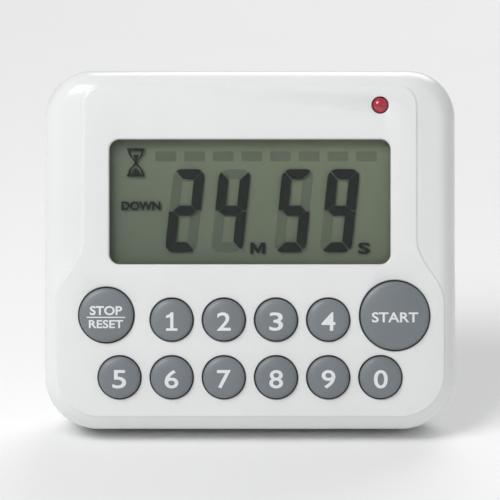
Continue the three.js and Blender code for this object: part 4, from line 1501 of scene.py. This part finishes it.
wire = upright("wire_stay")
hook_point = UPRIGHT.inverted() @ Vector(joints["wire_stay_fold"]["pos_m"])
seat_point = Vector(point(0, wire.u1 - WIRE_RADIUS, wire.d1 - WIRE_RADIUS))
WIRE_HALF = 5.4
stay_corners = [
    Vector((x, at.y, at.z))
    for x, at in ((wire.x0, hook_point), (-WIRE_HALF, hook_point), (-WIRE_HALF, seat_point),
                  (WIRE_HALF, seat_point), (WIRE_HALF, hook_point), (wire.x1, hook_point))
]
stay = wire_along("wire_stay_visual", bent(stay_corners, WIRE_BEND), WIRE_RADIUS)
keep(place(stay, UPRIGHT), "wire_stay", "pin_steel", pin_steel, "wire_stay")

# %% Hinge pin
PIN_RADIUS = (pin.u1 - pin.u0) / 2
pin_ends = [(PIN_RADIUS - 0.25, pin.x0), (PIN_RADIUS, pin.x0 + 0.25), (PIN_RADIUS, pin.x1 - 0.25),
            (PIN_RADIUS - 0.25, pin.x1)]
pin_piece = cross_lathe("hinge_pin", pin_ends, pin.u, pin.d)
keep(place(pin_piece, UPRIGHT), "case", "pin_steel", pin_steel, "stand_hinge_pin")

# %% [markdown]
# ## Screws
# Four equal screws hold the two cases together and sit deep in their wells. One screw is modelled
# inside a Geometry Nodes tree, head and cross recess and all, and set on the four places that the
# frame gives.

# %% Case screws


def screw_tree():
    tree, given, result = geometry_tree("case_screw", [
        ("Head Radius", "NodeSocketFloat", 1.35), ("Head Height", "NodeSocketFloat", 1.1),
        ("Shank Radius", "NodeSocketFloat", 0.75), ("Shank Length", "NodeSocketFloat", 11.0),
    ])

    def cylinder(radius, depth, rise):
        node = tree.nodes.new("GeometryNodeMeshCylinder")
        node.inputs["Vertices"].default_value = 40
        tree.links.new(radius, node.inputs["Radius"])
        tree.links.new(depth, node.inputs["Depth"])
        half = tree.nodes.new("ShaderNodeMath")
        half.operation = "MULTIPLY"
        half.inputs[1].default_value = rise
        tree.links.new(depth, half.inputs[0])
        offset = tree.nodes.new("ShaderNodeCombineXYZ")
        tree.links.new(half.outputs[0], offset.inputs["Z"])
        moved = tree.nodes.new("GeometryNodeTransform")
        tree.links.new(node.outputs["Mesh"], moved.inputs["Geometry"])
        tree.links.new(offset.outputs["Vector"], moved.inputs["Translation"])
        return moved.outputs["Geometry"]

    def slot(size):
        node = tree.nodes.new("GeometryNodeMeshCube")
        node.inputs["Size"].default_value = size
        return node.outputs["Mesh"]

    head = cylinder(given.outputs["Head Radius"], given.outputs["Head Height"], -0.5)
    shank = cylinder(given.outputs["Shank Radius"], given.outputs["Shank Length"], -0.52)
    cross = tree.nodes.new("GeometryNodeMeshBoolean")
    cross.operation = "DIFFERENCE"
    tree.links.new(head, cross.inputs["Mesh 1"])
    tree.links.new(slot((1.7, 0.36, 1.1)), cross.inputs["Mesh 2"])
    tree.links.new(slot((0.36, 1.7, 1.1)), cross.inputs["Mesh 2"])
    whole = tree.nodes.new("GeometryNodeMeshBoolean")
    whole.operation = "UNION"
    tree.links.new(cross.outputs["Mesh"], whole.inputs["Mesh 2"])
    tree.links.new(shank, whole.inputs["Mesh 2"])
    placed = instances_on(tree, given.outputs["Geometry"], whole.outputs["Mesh"])
    finish_tree(tree, placed, screw_steel, result)
    return tree


screw = case_screws[0]
screw_points = [(s.x, s.u, -s.d0) for s in case_screws]
screws = grown("case_screws", screw_tree(), screw_points, Head_Radius=(screw.x1 - screw.x0) / 2,
               Shank_Length=screw.d1 - screw.d0 - 0.4)
screws.data.transform(Matrix(((1, 0, 0, 0), (0, 0, 1, 0), (0, 1, 0, 0), (0, 0, 0, 1))))
screw_nodes = ["case_screw_" + str(i) for i in (1, 2, 3, 4)]
keep(place(screws, UPRIGHT), "case", "screw_steel", screw_steel, *screw_nodes)

# %% [markdown]
# ## Cells and their springs
# Two small cells lie the opposite way round in the bay. A cell is turned from one profile: a flat
# steel base, the sleeve with its crimped shoulders, and the raised button. Each spring is a cone of
# wire, which Geometry Nodes sweeps along a spiral.

# %% Cells


def cell_piece(name, cell, button):
    radius = (cell.u1 - cell.u0) / 2
    length = cell.x1 - cell.x0
    profile = [(0, 0.15), (radius - 1.6, 0.15), (radius - 1.4, 0), (radius - 0.7, 0), (radius - 0.35, 0.1),
               (radius - 0.05, 0.45), (radius, 0.8), (radius, length - 2.0), (radius - 0.1, length - 1.65),
               (radius - 0.45, length - 1.4), (radius - 0.7, length - 1.25), (radius - 1.0, length - 1.3),
               (2.6, length - 1.35), (1.95, length - 1.3), (1.9, length - 0.25), (1.65, length), (0, length)]
    start = cell.x0 if button > 0 else cell.x1
    stations = [(r, start + button * x) for r, x in profile]
    return cross_lathe(name, stations, cell.u, cell.d, 72)


for name, cell, button in (("battery_lower", cell_low, 1), ("battery_upper", cell_high, -1)):
    piece = place(cell_piece(name + "_cell", cell, button), UPRIGHT, 40)
    keep(piece, "case", "battery_wrap", battery_wrap, name)

# %% Contact springs


def spring_tree():
    tree, given, result = geometry_tree("contact_spring", [
        ("Turns", "NodeSocketFloat", 3.5), ("Wide", "NodeSocketFloat", 3.2),
        ("Narrow", "NodeSocketFloat", 1.6), ("Height", "NodeSocketFloat", 2.0),
        ("Wire", "NodeSocketFloat", 0.25),
    ])
    spiral = tree.nodes.new("GeometryNodeCurveSpiral")
    spiral.inputs["Resolution"].default_value = 28
    for label, socket in (("Turns", "Rotations"), ("Wide", "Start Radius"), ("Narrow", "End Radius"),
                          ("Height", "Height")):
        tree.links.new(given.outputs[label], spiral.inputs[socket])
    section = tree.nodes.new("GeometryNodeCurvePrimitiveCircle")
    section.inputs["Resolution"].default_value = 10
    tree.links.new(given.outputs["Wire"], section.inputs["Radius"])
    swept = tree.nodes.new("GeometryNodeCurveToMesh")
    swept.inputs["Fill Caps"].default_value = True
    tree.links.new(spiral.outputs["Curve"], swept.inputs["Curve"])
    tree.links.new(section.outputs["Curve"], swept.inputs["Profile Curve"])
    finish_tree(tree, swept.outputs["Mesh"], contact_nickel, result)
    return tree


spring_maker = spring_tree()
for name in ("battery_spring_lower", "battery_spring_upper"):
    seat = upright(name)
    side = -1 if seat.x < 0 else 1
    wide = (seat.u1 - seat.u0) / 2 - 0.25
    coil = grown(name + "_wire", spring_maker, [(0, 0, 0)], Wide=wide, Height=seat.x1 - seat.x0 - 0.5)
    base = seat.x0 + 0.25 if side < 0 else seat.x1 - 0.25
    turn = Matrix.Rotation(math.radians(-90 * side), 4, "Y")
    coil.data.transform(Matrix.Translation(point(base, seat.u, seat.d)) @ turn)
    keep(place(coil, UPRIGHT, 50), "case", "contact_nickel", contact_nickel, name)

# %% [markdown]
# ## What stays as the frame has it
# The board, the mat under the keys, the buzzer, the chip, the crystal and the leads are inside the
# closed case and already have the right shape. They stay as they are and only get a real finish.

# %% Finishes for the pieces inside
INSIDE = {
    "lcd_frame": case_white,
    "connector_strip_lower": rubber_grey,
    "connector_strip_upper": rubber_grey,
    "key_mat": rubber_grey,
    "circuit_board": board_green,
    "piezo_buzzer": epoxy_black,
    "controller_chip": epoxy_black,
    "timing_crystal": crystal_steel,
    "bridge_contact": contact_nickel,
    "positive_contact": contact_nickel,
    "negative_contact": contact_nickel,
    "lead_positive": lead_red,
    "lead_negative": lead_black,
    "board_screw_1": screw_steel,
    "board_screw_2": screw_steel,
}
for name, material in INSIDE.items():
    node = frame["nodes"][name]
    if not node.material_slots:
        node.data.materials.append(material)
    for slot_of_node in node.material_slots:
        slot_of_node.material = material
print(len(INSIDE), "pieces inside have their finish")

# %% [markdown]
# ## Floor, light and camera
# The timer stands on a wide pale sheet that curves up all round, like a photographer's cove, so that
# no edge or horizon shows from any side. A large soft lamp and a small near one stand high on the
# left, so that the light falls off towards the lower right. A weak lamp fills the right, another
# lights the back, and the sky fills the rest. The camera looks straight at the leaning face with a
# long lens, which keeps the outline nearly square.

# %% Floor
FLOOR_RADIUS, COVE_RADIUS, COVE_HEIGHT = 1.6, 0.7, 0.9


def cove():
    profile = [(r, 0.0) for r in (0.001, 0.2, 0.5, 1.0, FLOOR_RADIUS)]
    for step in range(1, 17):
        angle = step / 16 * math.pi / 2
        profile.append((FLOOR_RADIUS + COVE_RADIUS * math.sin(angle), COVE_RADIUS * (1 - math.cos(angle))))
    profile.append((FLOOR_RADIUS + COVE_RADIUS, COVE_HEIGHT))
    turns = [2 * math.pi * i / 96 for i in range(96)]
    vertices = [(r * math.cos(a), r * math.sin(a), z) for r, z in profile for a in turns]
    faces = [tuple(range(96))]
    for ring in range(len(profile) - 1):
        for i in range(96):
            j = (i + 1) % 96
            a, b = ring * 96, (ring + 1) * 96
            faces.append((a + i, b + i, b + j, a + j))
    mesh = bpy.data.meshes.new("floor")
    mesh.from_pydata(vertices, [], faces)
    return smooth(link("floor", mesh), 60)


floor_paper = Finish("floor_paper", Roughness=0.75, Specular_IOR_Level=0.3)
floor_paper.tone((0.93, 0.93, 0.93), (0.915, 0.915, 0.918), 6.0)
floor_paper.skin(1200.0, 0.0, 0.05)
floor = cove()
floor.location.z = -0.0002
floor.data.materials.append(floor_paper.material)
print("floor", 2 * (FLOOR_RADIUS + COVE_RADIUS), "m across")

# %% Light


def lamp(name, place_at, aim, size, power):
    data = bpy.data.lights.new(name, "AREA")
    data.shape = "RECTANGLE"
    data.size, data.size_y = size
    data.energy = power
    obj = link(name, data)
    obj.location = place_at
    obj.rotation_euler = (Vector(aim) - Vector(place_at)).to_track_quat("-Z", "Y").to_euler()
    return obj


CENTRE = (cad_low + cad_high) / 2
lamp("key_lamp", (-0.7, -0.7, 0.95), CENTRE, (0.6, 0.6), 5.0)
lamp("near_lamp", (-0.2, -0.22, 0.38), CENTRE, (0.22, 0.22), 0.7)
lamp("fill_lamp", (0.9, -0.7, 0.5), CENTRE, (0.7, 0.7), 0.8)
lamp("rear_lamp", (0.3, 0.95, 0.9), CENTRE, (0.9, 0.6), 6.0)
world = bpy.data.worlds.new("sky")
world.use_nodes = True
world.node_tree.nodes["Background"].inputs["Color"].default_value = (1, 1, 1, 1)
world.node_tree.nodes["Background"].inputs["Strength"].default_value = 0.38
bpy.context.scene.world = world
bpy.context.scene.view_settings.view_transform = "Standard"
bpy.context.scene.view_settings.look = "None"

# %% Camera
LENS = 165
FACE_SHARE = 0.83  # of the picture's width that the case fills
camera_data = bpy.data.cameras.new("camera")
camera_data.lens = LENS
camera_data.clip_start = 0.01
camera = link("camera", camera_data)
face_middle = UPRIGHT @ Vector(point(0, HEIGHT / 2, FACE))
distance = WIDTH * 0.001 / FACE_SHARE * LENS / camera_data.sensor_width
camera.location = face_middle - press_axis.normalized() * distance
camera.rotation_euler = press_axis.to_track_quat("-Z", "Y").to_euler()
bpy.context.scene.camera = camera
print("camera", round(distance, 3), "m from the face")

# %% [markdown]
# ## End
# The number of pieces made is printed. The visible model has to stay in the frame's own box.

# %% Finish
print("pieces made:", len(made))
